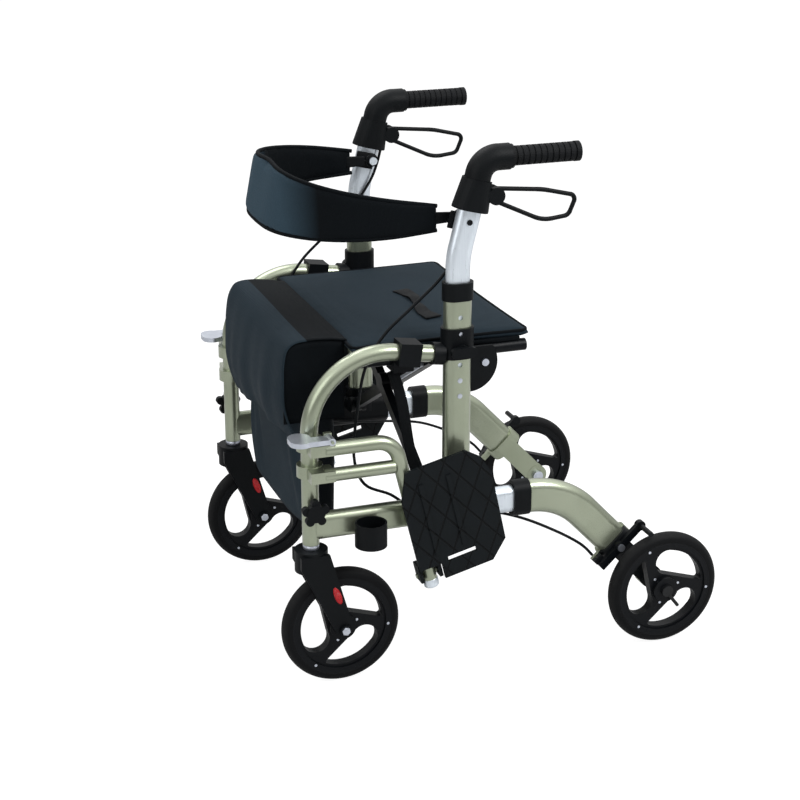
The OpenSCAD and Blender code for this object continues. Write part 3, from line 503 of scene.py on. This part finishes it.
# section: points (across, up), or a function of the share along the line that gives them
def sweep(name, line, section, finish, side=(1, 0, 0), closed=False):
    rings = []
    n = len(line)
    for k, p in enumerate(line):
        ahead = line[(k + 1) % n] if closed else line[min(k + 1, n - 1)]
        behind = line[(k - 1) % n] if closed else line[max(k - 1, 0)]
        along = (ahead - behind).normalized()
        across = Vector(side)
        across = (across - along * across.dot(along)).normalized()
        up = along.cross(across)
        shape = section(k / (n - 1)) if callable(section) else section
        rings.append([p + across * a + up * b for a, b in shape])
    return newPiece(name, *skinRings(rings, closed), finish)


def shares(count):  # from 0 to 1 in even steps
    return [k / count for k in range(count + 1)]


def squared(value, power):  # a power that keeps the sign, which squares off a round form
    return math.copysign(abs(value) ** power, value)


def roundTurn(count):  # cosine and sine of even steps round a circle
    return [(math.cos(2 * math.pi * k / count), math.sin(2 * math.pi * k / count)) for k in range(count)]


def roundSection(radius, count=12):
    return [(radius * c, radius * s) for c, s in roundTurn(count)]


def strapSection(width, thick):  # a flat band with its edges broken
    w, t = width / 2, thick / 2
    inner, low = w * 0.94, t * 0.6
    return [(-w, -low), (-inner, -t), (inner, -t), (w, -low), (w, low), (inner, t), (-inner, t), (-w, low)]


turnedEdge = math.radians(38)  # sharper edges of turned pieces stay crisp


def turnedRings(profile, centre, axis, count):  # profile: (distance along the axis, radius)
    one = axis.orthogonal().normalized()
    two = axis.cross(one)
    middle, turn = Vector(centre), roundTurn(count)
    return [[middle + axis * d + (one * c + two * s) * r for c, s in turn] for d, r in profile]


def lathe(name, profile, centre, axis, finish, count=28):
    rings = turnedRings(profile, centre, Vector(axis).normalized(), count)
    piece = newPiece(name, *skinRings(rings), finish)
    piece.data.set_sharp_from_angle(angle=turnedEdge)
    return piece


stuffing = {"pressure": 4.0, "quality": 4, "moments": 20, "smooth": 0.5, "passes": 4}


def swell(piece, voxel, cap):  # stuffs a closed form like a sewn pad, by no more than cap
    remesh = piece.modifiers.new("remesh", "REMESH")
    remesh.mode, remesh.voxel_size = "VOXEL", voxel
    bake(piece)
    rest = np.array([v.co for v in piece.data.vertices])
    cloth = piece.modifiers.new("stuffing", "CLOTH")
    cloth.settings.use_pressure = True
    cloth.settings.uniform_pressure_force = stuffing["pressure"]
    cloth.settings.effector_weights.gravity = 0
    cloth.settings.quality = stuffing["quality"]
    for moment in range(1, stuffing["moments"] + 1):
        bpy.context.scene.frame_set(moment)
    bake(piece)
    bpy.context.scene.frame_set(1)
    moved = np.array([v.co for v in piece.data.vertices]) - rest
    far = np.linalg.norm(moved, axis=1, keepdims=True)
    rest = rest + moved * np.minimum(1, cap / np.maximum(far, 1e-9))
    piece.data.vertices.foreach_set("co", rest.astype(np.float32).ravel())
    smoother = piece.modifiers.new("smoother", "SMOOTH")
    smoother.factor, smoother.iterations = stuffing["smooth"], stuffing["passes"]
    finer = piece.modifiers.new("finer", "SUBSURF")
    finer.levels = 1
    bake(piece)
    piece.data.shade_smooth()
    return piece


def ride(piece, body):
    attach(piece, body)


# cloth pieces that ride on the seat or on the backrest
seatFold = {"body": "seat_left", "anchor": 0.189, "keep": 0.43}
bandFold = {"body": "backrest", "anchor": 0.213, "keep": 0.494}


def addFold(piece, fold):
    ride(piece, fold["body"])
    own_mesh(piece)


# brake cables, from the handle housings to the rear brakes
brakeCable = {"width": 0.005, "length": 0.959, "fixed": 0.58, "route": [
    (0.228, -0.045, 0.7702), (0.228, -0.052, 0.745), (0.227, -0.066, 0.715), (0.23, -0.1, 0.667),
    (0.23, -0.15, 0.622), (0.2275, -0.196, 0.58), (0.225, -0.226, 0.53), (0.224, -0.24, 0.46),
    (0.222, -0.246, 0.38), (0.214, -0.226, 0.326), (0.212, -0.18, 0.3), (0.221, -0.14, 0.272),
    (0.222, -0.08, 0.262), (0.224, -0.02, 0.254), (0.238, 0.04, 0.238), (0.248, 0.1, 0.209),
    (0.252, 0.145, 0.18), (0.254, 0.167, 0.157)]}


def makeCables():  # one cable on each side, baked in place
    for side, k in sides:
        route = [(k * x, y, z) for x, y, z in brakeCable["route"]]
        line = smoothLine(route)
        piece = sweep(f"brakeCable_{side}", line, roundSection(brakeCable["width"] / 2), sheath)
        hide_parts(f"brake_cable_{side}")
        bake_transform(piece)


makeCables()
print("cables made")


# seat pad with its piping and the hems that hold the rails
seatPad = {
    "half": 0.219, "front": -0.25, "back": 0.06, "spread": 0.002, "bow": 0.003, "under": 0.5485,
    "base": 0.001, "edge": 0.009, "crown": 0.007, "columns": 44, "rows": 32, "voxel": 0.0045, "swell": 0.004}
piping = {"radius": 0.0026, "inset": 0.005, "lift": 0.0008, "corner": 0.985, "across": 12, "deep": 10}
railHem = {  # runs: each hem's start and length along y
    "x": 0.21, "runs": ((-0.236, 0.048), (-0.078, 0.118)), "width": 0.014, "thick": 0.006, "drop": 0.0022}


def seatEdge(u, v, inset):  # plan point of the pad, u and v from -1 to 1
    half, deep = seatPad["half"] - inset, (seatPad["back"] - seatPad["front"]) / 2 - inset
    mid = (seatPad["back"] + seatPad["front"]) / 2
    return u * (half - seatPad["bow"] * (1 - v * v)), mid + v * (deep - seatPad["bow"] * (1 - u * u))


def makeSeat():
    n, m = seatPad["columns"], seatPad["rows"]
    points, faces = [], []
    for top in (False, True):
        for i in range(n + 1):
            for j in range(m + 1):
                u, v = 2 * i / n - 1, 2 * j / m - 1
                crown = seatPad["crown"] * (1 - u ** 4) * (1 - v ** 4)
                z = seatPad["under"] + (seatPad["edge"] + crown if top else seatPad["base"])
                points.append((*seatEdge(u, v, -seatPad["spread"]), z))
    row, layer = m + 1, (n + 1) * (m + 1)
    for i in range(n):
        for j in range(m):
            a = i * row + j
            b = a + layer
            faces += [(a, a + row, a + row + 1, a + 1), (b, b + 1, b + row + 1, b + row)]
    rim = [i * row for i in range(n)] + [n * row + j for j in range(m)]
    rim += [i * row + m for i in range(n, 0, -1)] + list(range(m, 0, -1))
    for a, b in zip(rim, rim[1:] + rim[:1]):
        faces.append((a, b, b + layer, a + layer))
    pad = swell(newPiece("seatPad", points, faces, seatCloth), seatPad["voxel"], seatPad["swell"])
    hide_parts("seat")
    addFold(pad, seatFold)


def makePiping():
    across = [k / piping["across"] * 2 - 1 for k in range(piping["across"])]
    deep = [k / piping["deep"] * 2 - 1 for k in range(piping["deep"])]
    plan = [(a, -1) for a in across] + [(1, d) for d in deep]
    loop = []
    for u, v in plan + [(-u, -v) for u, v in plan]:
        pull = piping["corner"] if abs(u * v) == 1 else 1
        x, y = seatEdge(u * pull, v * pull, piping["inset"])
        loop.append((x, y, seatPad["under"] + seatPad["edge"] + piping["lift"]))
    pipe = sweep("seatPiping", smoothLine(loop, 4, True), roundSection(piping["radius"], 10), gussetCloth,
                 side=(0, 0, 1), closed=True)
    addFold(pipe, seatFold)


def makeRailHems():
    section = strapSection(railHem["width"], railHem["thick"])
    for mark, k in (("R", -1), ("L", 1)):
        for j, (y, deep) in enumerate(railHem["runs"]):
            z = seatPad["under"] - railHem["drop"]
            line = [Vector((k * railHem["x"], y + deep * t, z)) for t in shares(8)]
            addFold(sweep(f"railHem{mark}{j}", line, section, gussetCloth), seatFold)


makeSeat()
makePiping()
makeRailHems()
print("seat made")


# pull strap on the seat
pullStrap = {
    "from": -0.03, "to": 0.135, "y": -0.078, "z": 0.5698, "width": 0.03, "pinch": 0.011, "thick": 0.0022,
    "slack": 0.004, "sway": 0.006, "taper": 0.8}


def makePullStrap():
    line = []
    for t in shares(32):
        x = pullStrap["from"] + (pullStrap["to"] - pullStrap["from"]) * t
        y = pullStrap["y"] + pullStrap["sway"] * math.sin(2 * math.pi * t)
        lift = pullStrap["slack"] * math.sin(math.pi * t) * (0.6 + 0.4 * math.cos(6 * math.pi * t))
        line.append(Vector((x, y, pullStrap["z"] + lift)))

    def section(t):  # narrow in the middle, where a hand takes it
        flare = abs(2 * t - 1) ** pullStrap["taper"]
        wide = pullStrap["pinch"] + (pullStrap["width"] - pullStrap["pinch"]) * flare
        return strapSection(wide, pullStrap["thick"])
    strap = sweep("pullStrap", line, section, strapWebbing, side=(0, 1, 0))
    addFold(strap, seatFold)


makePullStrap()


# bag: a sagging pouch under the seat's front edge
pouch = {
    "half": 0.176, "front": -0.32, "back": -0.256, "floor": 0.239, "rim": 0.533, "wall": 0.0022,
    "rows": 40, "gusset": 0.163, "floorY": -0.287, "floorDrop": 0.0005, "floorRise": 0.002,
    "floorRings": (0.35, 0.7, 0.92), "wide": (0.93, 0.065), "deep": (0.72, 0.27), "square": (0.34, 0.5),
    "sag": 0.007, "cornerLift": 0.006, "swing": 0.004, "fold": 0.0022, "wave": 0.003}


def pouchRing(t, count=96):  # t from 0 at the floor to 1 at the rim
    belly = math.sin(math.pi * min(1, 0.15 + 0.8 * t)) ** 0.8
    (width, wider), (depth, deeper) = pouch["wide"], pouch["deep"]
    half = pouch["half"] * (width + wider * belly)
    mid = (pouch["front"] + pouch["back"]) / 2 + pouch["swing"] * (1 - t)
    deep = (pouch["back"] - pouch["front"]) / 2 * (depth + deeper * belly)
    z = pouch["floor"] + (pouch["rim"] - pouch["floor"]) * t
    ring = []
    for c, s in roundTurn(count):
        x, y = half * squared(c, pouch["square"][0]), deep * squared(s, pouch["square"][1])
        fold = pouch["fold"] * math.sin(23 * x / pouch["half"] + 5 * t) * math.sin(math.pi * t)
        fold += pouch["wave"] * math.sin(9 * t + 4 * c)
        sag = pouch["sag"] * (1 - t) ** 2 * (1 - (x / half) ** 2)
        lift = pouch["cornerLift"] * (1 - t) * (x / half) ** 4
        ring.append((x, mid + y + (fold if s < 0 else 0.4 * fold), z - sag * (1 - t) + lift))
    return ring


def makePouch():
    rings = [pouchRing(t) for t in shares(pouch["rows"])]
    middle, drop = pouch["floorY"], pouch["floorDrop"]
    floor = []
    for share in pouch["floorRings"]:  # the bottom panel, rounded up to the wall
        rise = pouch["floorRise"] * share
        floor.append([(x * share, (y - middle) * share + middle, z - drop + rise) for x, y, z in rings[0]])
    points, faces = skinRings(floor + rings)
    base = faces[-2][::-1]
    bag = newPiece("bagPouch", points, [base] + faces[:-2], bagCloth)  # open at the rim
    thicken(bag, pouch["wall"])
    bag.data.materials.append(gussetCloth)
    for face in bag.data.polygons:  # black side gussets of darker cloth; their black is also a painted shade on the bag's sides
        face.material_index = 1 if abs(face.center.x) > pouch["gusset"] else 0
    bag.data.shade_smooth()
    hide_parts("bag")
    addFold(bag, seatFold)


makePouch()


# lid that drapes from the seat's front edge over the pouch
lid = {
    "half": 0.178, "wall": 0.0018, "shadeStrip": -0.309, "cuts": 7, "columns": 49, "hangFrom": 0.42,
    "flare": 0.012, "ripple": 0.0032, "flutter": 0.0015, "crease": 0.0022, "drop": 0.027,
    "skew": (0.55, 0.45), "tuck": 0.012, "path": [
        (-0.242, 0.5612), (-0.252, 0.5628), (-0.27, 0.5668), (-0.3, 0.569), (-0.327, 0.5655), (-0.343, 0.552),
        (-0.351, 0.528), (-0.355, 0.495), (-0.357, 0.46), (-0.352, 0.428), (-0.343, 0.402)]}


def lidLine():
    return smoothLine([(0, y, z) for y, z in lid["path"]], lid["cuts"])


def lidPoint(p, t, u):  # p on the lid's path, t the share along it, u from -1 to 1 across
    hang = max(0.0, (t - lid["hangFrom"]) / (1 - lid["hangFrom"]))
    ripple = lid["ripple"] * math.sin(7.5 * u + 1.2) * hang
    ripple += lid["flutter"] * math.sin(17 * u + 3 * t) * hang
    crease = lid["crease"] * math.sin(9 * t + 2.3 * u) * math.sin(math.pi * t)
    slant, sag = lid["skew"]
    drop = lid["drop"] * hang * (slant * u - sag * u * u)  # the flap hangs lower on one side
    tuck = lid["tuck"] * hang * abs(u) ** 6
    return (u * lid["half"] * (1 + lid["flare"] * hang), p.y + ripple + tuck, p.z + crease + drop)


def makeLid():
    line = lidLine()
    rows, columns = len(line), lid["columns"]
    across = [2 * j / (columns - 1) - 1 for j in range(columns)]
    points = [lidPoint(p, i / (rows - 1), u) for i, p in enumerate(line) for u in across]
    flap = newPiece("bagLid", points, gridFaces(rows, columns), bagCloth)
    thicken(flap, lid["wall"])
    flap.data.materials.append(gussetCloth)
    for face in flap.data.polygons:  # a strip of the black cloth joins the lid to the seat; its black is a painted shade along the crease there
        face.material_index = 1 if face.center.y > lid["shadeStrip"] else 0
    flap.data.shade_smooth()
    width, length = 2 * lid["half"], sum((b - a).length for a, b in zip(line, line[1:]))
    addFold(flap, seatFold)


makeLid()


# side cheeks that close the gap between lid and pouch
cheek = {
    "x": 0.1748, "back": -0.246, "front": -0.348, "low": 0.43, "under": 0.0014, "wall": 0.0012,
    "pleat": 0.0012, "lidSpans": 6, "columns": 25, "rows": 13}


def makeCheeks():
    line = lidLine()
    upper = line[:cheek["lidSpans"] * lid["cuts"] + 1]
    columns, rows = cheek["columns"], cheek["rows"]
    for side, k in sides:
        u = k * cheek["x"] / lid["half"]
        crown = [lidPoint(p, i / (len(line) - 1), u)[1:] for i, p in enumerate(upper)]
        points = []
        for i in range(columns):
            y = cheek["back"] + (cheek["front"] - cheek["back"]) * i / (columns - 1)
            top = float(np.interp(-y, [-a for a, b in crown], [b for a, b in crown])) - cheek["under"]
            for j in range(rows):
                t = j / (rows - 1)
                pleat = cheek["pleat"] * math.sin(9 * i / columns + 4 * t) * math.sin(math.pi * t)
                points.append((k * (cheek["x"] + pleat), y, top + (cheek["low"] - top) * t))
        panel = newPiece(f"bagCheek_{side}", points, gridFaces(columns, rows), gussetCloth)
        area = sum(f.area for f in panel.data.polygons)
        thicken(panel, cheek["wall"])
        panel.data.shade_smooth()
        width, length = cheek["back"] - cheek["front"], max(b for a, b in crown) - cheek["low"]
        min(area, width * length)
        addFold(panel, seatFold)
        print("cheek sheet", round(width, 4), round(length, 4), "area", round(area, 4))


makeCheeks()
print("bag made")


# backrest band
band = {
    "half": 0.213, "front": -0.326, "radius": 0.178, "pinY": -0.0658, "pinZ": 0.757, "tab": 0.038,
    "thick": 0.008, "endH": 0.048, "top": 0.058, "low": 0.049, "edge": 0.0016, "rise": 0.01, "lean": 0.25,
    "ease": 1.6, "square": (0.8, 0.35), "cuts": (5, 24, 4), "voxel": 0.004, "swell": 0.003}
binding = {"radius": 0.0034, "inset": 0.0046}
bandTab = {"back": 0.048, "length": 0.034, "thick": 0.005, "tall": 0.02, "taper": 0.004, "edge": 0.0008}
bandRingProfile = [
    (-0.0027, 0.0046), (-0.003, 0.0102), (-0.0024, 0.0112),
    (0.0024, 0.0112), (0.003, 0.0102), (0.0027, 0.0046)]


def bandStations():  # plan place, angle and share of the way from an end to the middle
    end = band["pinY"] - band["tab"]
    turn = band["front"] + band["radius"]
    lengths = (end - turn, math.pi / 2 * band["radius"], band["half"] - band["radius"])
    whole = sum(lengths)
    n, m, o = band["cuts"]  # along the straight end, the bend and the front
    left = [((band["half"], end + (turn - end) * k / n), -90, lengths[0] / whole * k / n) for k in range(n)]
    for k in range(m + 1):
        a = math.radians(90 * k / m)
        x = band["half"] - band["radius"] * (1 - math.cos(a))
        y = band["front"] + band["radius"] * (1 - math.sin(a))
        left.append(((x, y), -90 - 90 * k / m, (lengths[0] + lengths[1] * k / m) / whole))
    for k in range(1, o + 1):
        left.append(((lengths[2] * (1 - k / o), band["front"]), -180, 1 - lengths[2] / whole * (1 - k / o)))
    right = [((-p[0], p[1]), -360 - a, s) for p, a, s in reversed(left[:-1])]
    return left + right


def bandHeight(share, edge):  # from the band's middle line to its top or low edge
    return band["endH"] / 2 + (band[edge] - band["endH"] / 2) * (1 - max(0, 1 - share) ** band["ease"])


def bandPoint(place, angle, share, across, up):  # the front leans in towards its top
    out = (-math.sin(math.radians(angle)), math.cos(math.radians(angle)))
    reach = across - up * band["lean"] * share
    z = band["pinZ"] + band["rise"] * share + up
    return Vector((place[0] + out[0] * reach, place[1] + out[1] * reach, z))


def bandRing(place, angle, share, count=36):
    ring = []
    for c, s in roundTurn(count):
        across = band["thick"] / 2 * squared(c, band["square"][0])
        up = (bandHeight(share, "top" if s > 0 else "low") - band["edge"]) * squared(s, band["square"][1])
        ring.append(bandPoint(place, angle, share, across, up))
    return ring


def makeBackrest():
    rings = [bandRing(p, a, s) for p, a, s in bandStations()]
    pad = swell(newPiece("backBand", *skinRings(rings), bandCloth), band["voxel"], band["swell"])
    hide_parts("backrest")
    addFold(pad, bandFold)
    for name, edge, way in (("bandSeamTop", "top", 1), ("bandSeamLow", "low", -1)):  # bound edges
        line = []
        for p, a, s in bandStations():
            line.append(bandPoint(p, a, s, 0, way * (bandHeight(s, edge) - binding["inset"])))
        seam = sweep(name, line, roundSection(binding["radius"], 10), gussetCloth, side=(0, 0, 1))
        addFold(seam, bandFold)


def makeBandTabs():  # flat ends and the rings on the pins
    def section(t):
        return strapSection(bandTab["thick"], bandTab["tall"] - bandTab["taper"] * t)
    for side, k in sides:
        x, back = k * band["half"], band["pinY"] - bandTab["back"]
        line = [Vector((x, back + bandTab["length"] * t, band["pinZ"])) for t in shares(6)]
        tab = softEdges(sweep(f"bandTab_{side}", line, section, moulding), bandTab["edge"])
        pin = (x, band["pinY"], band["pinZ"])
        ring = lathe(f"bandRing_{side}", bandRingProfile, pin, (1, 0, 0), moulding)
        for piece in (tab, ring):
            addFold(piece, bandFold)


makeBackrest()
makeBandTabs()
print("backrest made")


# small fittings
studHead = {  # profile: shares of the head's height and radius
    "sunk": 0.0004, "profile": [(0.6, 1), (1, 0.72), (0.85, 0.3)], "count": 14}


def studs(name, spots, axis, radius, height, finish):  # low round heads in one mesh
    profile = [(-studHead["sunk"], radius)] + [(height * h, radius * r) for h, r in studHead["profile"]]
    points, faces = [], []
    for spot in spots:
        p, f = skinRings(turnedRings(profile, spot, Vector(axis), studHead["count"]))
        faces += [tuple(i + len(points) for i in face) for face in f]
        points += p
    piece = newPiece(name, points, faces, finish)
    piece.data.set_sharp_from_angle(angle=turnedEdge)
    return piece


wheelScrews = {  # each ring of screws: radius, turn and reach out from the wheel's middle
    "hub": (0.0262, 14, 0.009), "rim": (0.079, -6, 0.012), "radius": 0.0024, "height": 0.0009}


def makeWheelScrews():
    for end, (wide, y, z) in (("front", frontHub), ("rear", rearHub)):
        for side, k in sides:
            for face in (-1, 1):
                spots = []
                for ring in ("hub", "rim"):
                    r, turn, out = wheelScrews[ring]
                    x = k * wide + face * out
                    for a in (0, 120, 240):
                        angle = math.radians(turn + a)
                        spots.append((x, y + r * math.cos(angle), z + r * math.sin(angle)))
                heads = studs(f"wheelScrews_{end}_{side}{face + 1}", spots, (face, 0, 0),
                              wheelScrews["radius"], wheelScrews["height"], steel)
                ride(heads, f"{end}_wheel_{side}")


makeWheelScrews()


# reflectors and nuts on both faces of the forks, and a ring on each stem
fork = {
    "face": 0.027, "reflectorY": -0.2915, "reflectorZ": 0.163, "slope": 110, "reflector": (0.0165, 0.006),
    "bulge": 0.0032, "domeRings": 7, "domeEnd": 6.3, "sunk": 0.0003, "nutFace": 0.0315, "ringZ": 0.2414,
    "nut": [(-0.0002, 0.0072), (0.0026, 0.0072), (0.0032, 0.0062), (0.0028, 0.002)],
    "ring": [
        (0, 0.0118), (0, 0.0126), (0.0012, 0.0132), (0.0062, 0.0132), (0.0074, 0.0126), (0.0074, 0.0118)]}


def makeReflectorLens(name, centre, out):
    slope = math.radians(fork["slope"])
    along = Vector((0, -math.cos(slope), -math.sin(slope)))
    across = Vector((0, -along.z, along.y))
    longer, shorter = fork["reflector"]
    rings = []
    for j in range(fork["domeRings"]):  # from the rim to the crown
        turn = math.pi / 2 * j / fork["domeEnd"]
        lift, grow = math.sin(turn), math.cos(turn)
        middle = centre + out * (fork["bulge"] * lift - fork["sunk"])
        a, b = longer * grow, shorter * grow
        rings.append([middle + along * (a * c) + across * (b * s) for c, s in roundTurn(28)])
    return newPiece(name, *skinRings(rings), redReflector)


def makeForkFittings():
    wide, hubY, hubZ = frontHub
    for side, k in sides:
        for face in (-1, 1):
            out = Vector((face, 0, 0))
            centre = Vector((k * wide + face * fork["face"], fork["reflectorY"], fork["reflectorZ"]))
            lens = makeReflectorLens(f"forkReflector_{side}{face + 1}", centre, out)
            ride(lens, f"caster_{side}")
            place = (k * wide + face * fork["nutFace"], hubY, hubZ)
            nut = lathe(f"forkNut_{side}{face + 1}", fork["nut"], place, out, steel, count=6)
            ride(nut, f"caster_{side}")
        place = (k * casterStem[0], casterStem[1], fork["ringZ"])
        ring = lathe(f"stemRing_{side}", fork["ring"], place, (0, 0, 1), steel)
        ride(ring, f"caster_{side}")


makeForkFittings()


# bright sleeves on the lower ends of the footrest tubes
footSleeve = {"foot": (0.278, -0.133, 0.163), "lean": 14, "profile": [
    (-0.003, 0.004), (-0.003, 0.0112), (-0.0012, 0.0128), (0.0104, 0.0128), (0.01144, 0.0121)]}


def makeFootSleeves():
    lean = math.radians(footSleeve["lean"])
    up = Vector((0, -math.sin(lean), math.cos(lean)))
    for side, k in sides:
        x, y, z = footSleeve["foot"]
        sleeve = lathe(f"footSleeve_{side}", footSleeve["profile"], (k * x, y, z), up, silver)
        ride(sleeve, f"hanger_{side}")


makeFootSleeves()


# bright screws in the posts' holes
postScrews = {"x": 0.2602, "y": -0.08, "heights": (0.579, 0.501, 0.475), "radius": 0.0042, "height": 0.0008}


def makePostScrews():
    for side, k in sides:
        spots = [(k * postScrews["x"], postScrews["y"], z) for z in postScrews["heights"]]
        heads = studs(f"postScrews_{side}", spots, (k, 0, 0),
                      postScrews["radius"], postScrews["height"], steel)
        ride(heads, f"frame_{side}")


makePostScrews()


# straps and bars under the seat
underStraps = {
    "top": (0.214, -0.178, 0.5148), "foot": (0.219, -0.135, 0.327), "width": 0.018, "thick": 0.0024,
    "bow": 0.002, "sway": 0.003}


def makeUnderStraps():
    top, foot = Vector(underStraps["top"]), Vector(underStraps["foot"])
    section = strapSection(underStraps["width"], underStraps["thick"])
    for side, k in sides:
        line = []
        for t in shares(12):
            turn = math.pi * t
            slack = Vector((underStraps["bow"] * math.sin(turn), underStraps["sway"] * math.sin(2 * turn), 0))
            p = top.lerp(foot, t) + slack
            line.append(Vector((k * p.x, p.y, p.z)))
        strap = sweep(f"underStrap_{side}", line, section, strapWebbing, side=(0, 1, 0))
        ride(strap, f"frame_{side}")


makeUnderStraps()

braceBars = {
    "cross": (0, -0.1087, 0.418), "run": (0.42, 0, 0.23), "from": 0.045, "to": 0.185, "gap": 0.0062,
    "radius": 0.0031, "edge": 0.0006}


def makeBraceBars():
    slope = Vector(braceBars["run"]).normalized()
    up = Vector((-slope.z, 0, slope.x))
    length = braceBars["to"] - braceBars["from"]
    for j, shift in enumerate((-1, 1)):
        start = Vector(braceBars["cross"]) + up * (shift * braceBars["gap"])
        line = [start + slope * (braceBars["from"] + length * t) for t in shares(4)]
        bar = sweep(f"braceBar{j}", line, roundSection(braceBars["radius"]), steel, side=(0, 1, 0))
        ride(softEdges(bar, braceBars["edge"]), "brace_rear")


makeBraceBars()


# plates, bolts and heads at the backrest's pins
pinPlate = {
    "x": 0.2304, "y": -0.0735, "z": 0.7545, "wide": 0.034, "tall": 0.028, "thick": 0.0046, "lean": 14,
    "edge": 0.0012, "bolt": (-0.009, -0.004), "boltR": 0.0045, "boltH": 0.0022}


def makePinPlates():
    box = [(a, b, c) for a in (-0.5, 0.5) for b in (-0.5, 0.5) for c in (-0.5, 0.5)]
    faces = [(0, 1, 3, 2), (4, 6, 7, 5), (0, 4, 5, 1), (2, 3, 7, 6), (0, 2, 6, 4), (1, 5, 7, 3)]
    size = [pinPlate[key] for key in ("thick", "wide", "tall")]
    tilt = Matrix.Rotation(math.radians(-pinPlate["lean"]), 3, "X")
    for side, k in sides:
        centre = Vector((k * pinPlate["x"], pinPlate["y"], pinPlate["z"]))
        points = [tilt @ Vector([a * b for a, b in zip(corner, size)]) + centre for corner in box]
        plate = softEdges(newPiece(f"pinPlate_{side}", points, faces, moulding), pinPlate["edge"])
        ride(plate, f"handle_{side}")
        y, z = pinPlate["bolt"]
        spot = (k * (pinPlate["x"] - pinPlate["thick"] / 2), pinPlate["y"] + y, pinPlate["z"] + z)
        bolt = studs(f"pinBolt_{side}", [spot], (-k, 0, 0), pinPlate["boltR"], pinPlate["boltH"], steel)
        ride(bolt, f"handle_{side}")


makePinPlates()

pinHead = {
    "x": 0.2578, "profile": [(-0.0006, 0.0046), (0.0006, 0.0046), (0.001, 0.00368), (0.0004, 0.002852)]}


def makePinHeads():
    for side, k in sides:
        spot = (k * pinHead["x"], band["pinY"], band["pinZ"])
        head = lathe(f"pinHead_{side}", pinHead["profile"], spot, (k, 0, 0), coatedTube)
        ride(head, f"handle_{side}")


makePinHeads()
print("fittings made")


# light and floor
lamps = {  # place, size and power
    "keyLamp": ((1.9, 1.5, 2.6), 1.6, 62), "fillLamp": ((1.6, -2.6, 1.6), 2.2, 20),
    "topLamp": ((-1.2, -0.6, 2.9), 1.8, 26)}
room = {"sky": 0.42, "rim": 0.2, "crown": 1.7, "rimAt": -0.05, "crownAt": 0.75}
floorLook = {"grey": 0.86, "rough": 0.9, "glow": 1.4, "share": 0.64, "half": 24, "z": -0.0005}
white = (1, 1, 1, 1)


def addLamp(name, place, size, power):
    data = bpy.data.lights.new(name, "AREA")
    data.shape, data.size, data.energy = "DISK", size, power
    lamp = bpy.data.objects.new(name, data)
    bpy.context.collection.objects.link(lamp)
    lamp.location = place
    lamp.rotation_mode = "QUATERNION"
    lamp.rotation_quaternion = (Vector(shot["target"]) - Vector(place)).to_track_quat("-Z", "Y")


for name, (place, size, power) in lamps.items():
    addLamp(name, place, size, power)


def makeRoom():
    world = bpy.data.worlds.new("paleRoom")
    bpy.context.scene.world = world
    world.use_nodes = True
    tree = world.node_tree
    tree.nodes.clear()

    def glow(strength):
        made = tree.nodes.new("ShaderNodeBackground")
        made.inputs["Color"].default_value = white
        made.inputs["Strength"].default_value = strength
        return made.outputs[0]

    def blend(factor, one, two):
        made = tree.nodes.new("ShaderNodeMixShader")
        for k, socket in enumerate((factor, one, two)):
            tree.links.new(socket, made.inputs[k])
        return made.outputs[0]
    see = tree.nodes.new("ShaderNodeLightPath").outputs
    kinds = ("TexCoord", "SeparateXYZ", "MapRange")
    way, split, rise = [tree.nodes.new("ShaderNode" + kind) for kind in kinds]
    tree.links.new(way.outputs["Generated"], split.inputs[0])
    tree.links.new(split.outputs[2], rise.inputs[0])
    rise.inputs[1].default_value, rise.inputs[2].default_value = room["rimAt"], room["crownAt"]
    mirrored = blend(rise.outputs[0], glow(room["rim"]), glow(room["crown"]))  # polished parts see this
    around = blend(see["Is Glossy Ray"], glow(room["sky"]), mirrored)
    end = tree.nodes.new("ShaderNodeOutputWorld")
    tree.links.new(blend(see["Is Camera Ray"], around, glow(1)), end.inputs[0])


def makeFloor():
    grey, half = floorLook["grey"], floorLook["half"]
    f = Finish("paleFloor", {
        "Base Color": (grey, grey, grey, 1), "Roughness": floorLook["rough"], "Specular IOR Level": 0.1})
    seen = f.node("LightPath", out="Is Camera Ray")
    shine = f.node("Emission", None, {"Color": white, "Strength": floorLook["glow"]})
    plain = Wire(f, f.shader.outputs[0])
    mixed = f.node("MixShader", None, {0: floorLook["share"] * seen, 1: plain, 2: shine})
    f.tree.links.new(mixed.socket, f.tree.nodes["Material Output"].inputs[0])
    points = [(x * half, y * half, floorLook["z"]) for x, y in ((-1, -1), (1, -1), (1, 1), (-1, 1))]
    newPiece("paleFloor", points, [(0, 1, 2, 3)], f.material, smooth=False)


makeRoom()
makeFloor()
bpy.context.scene.view_settings.view_transform = "Standard"
print("stage made")
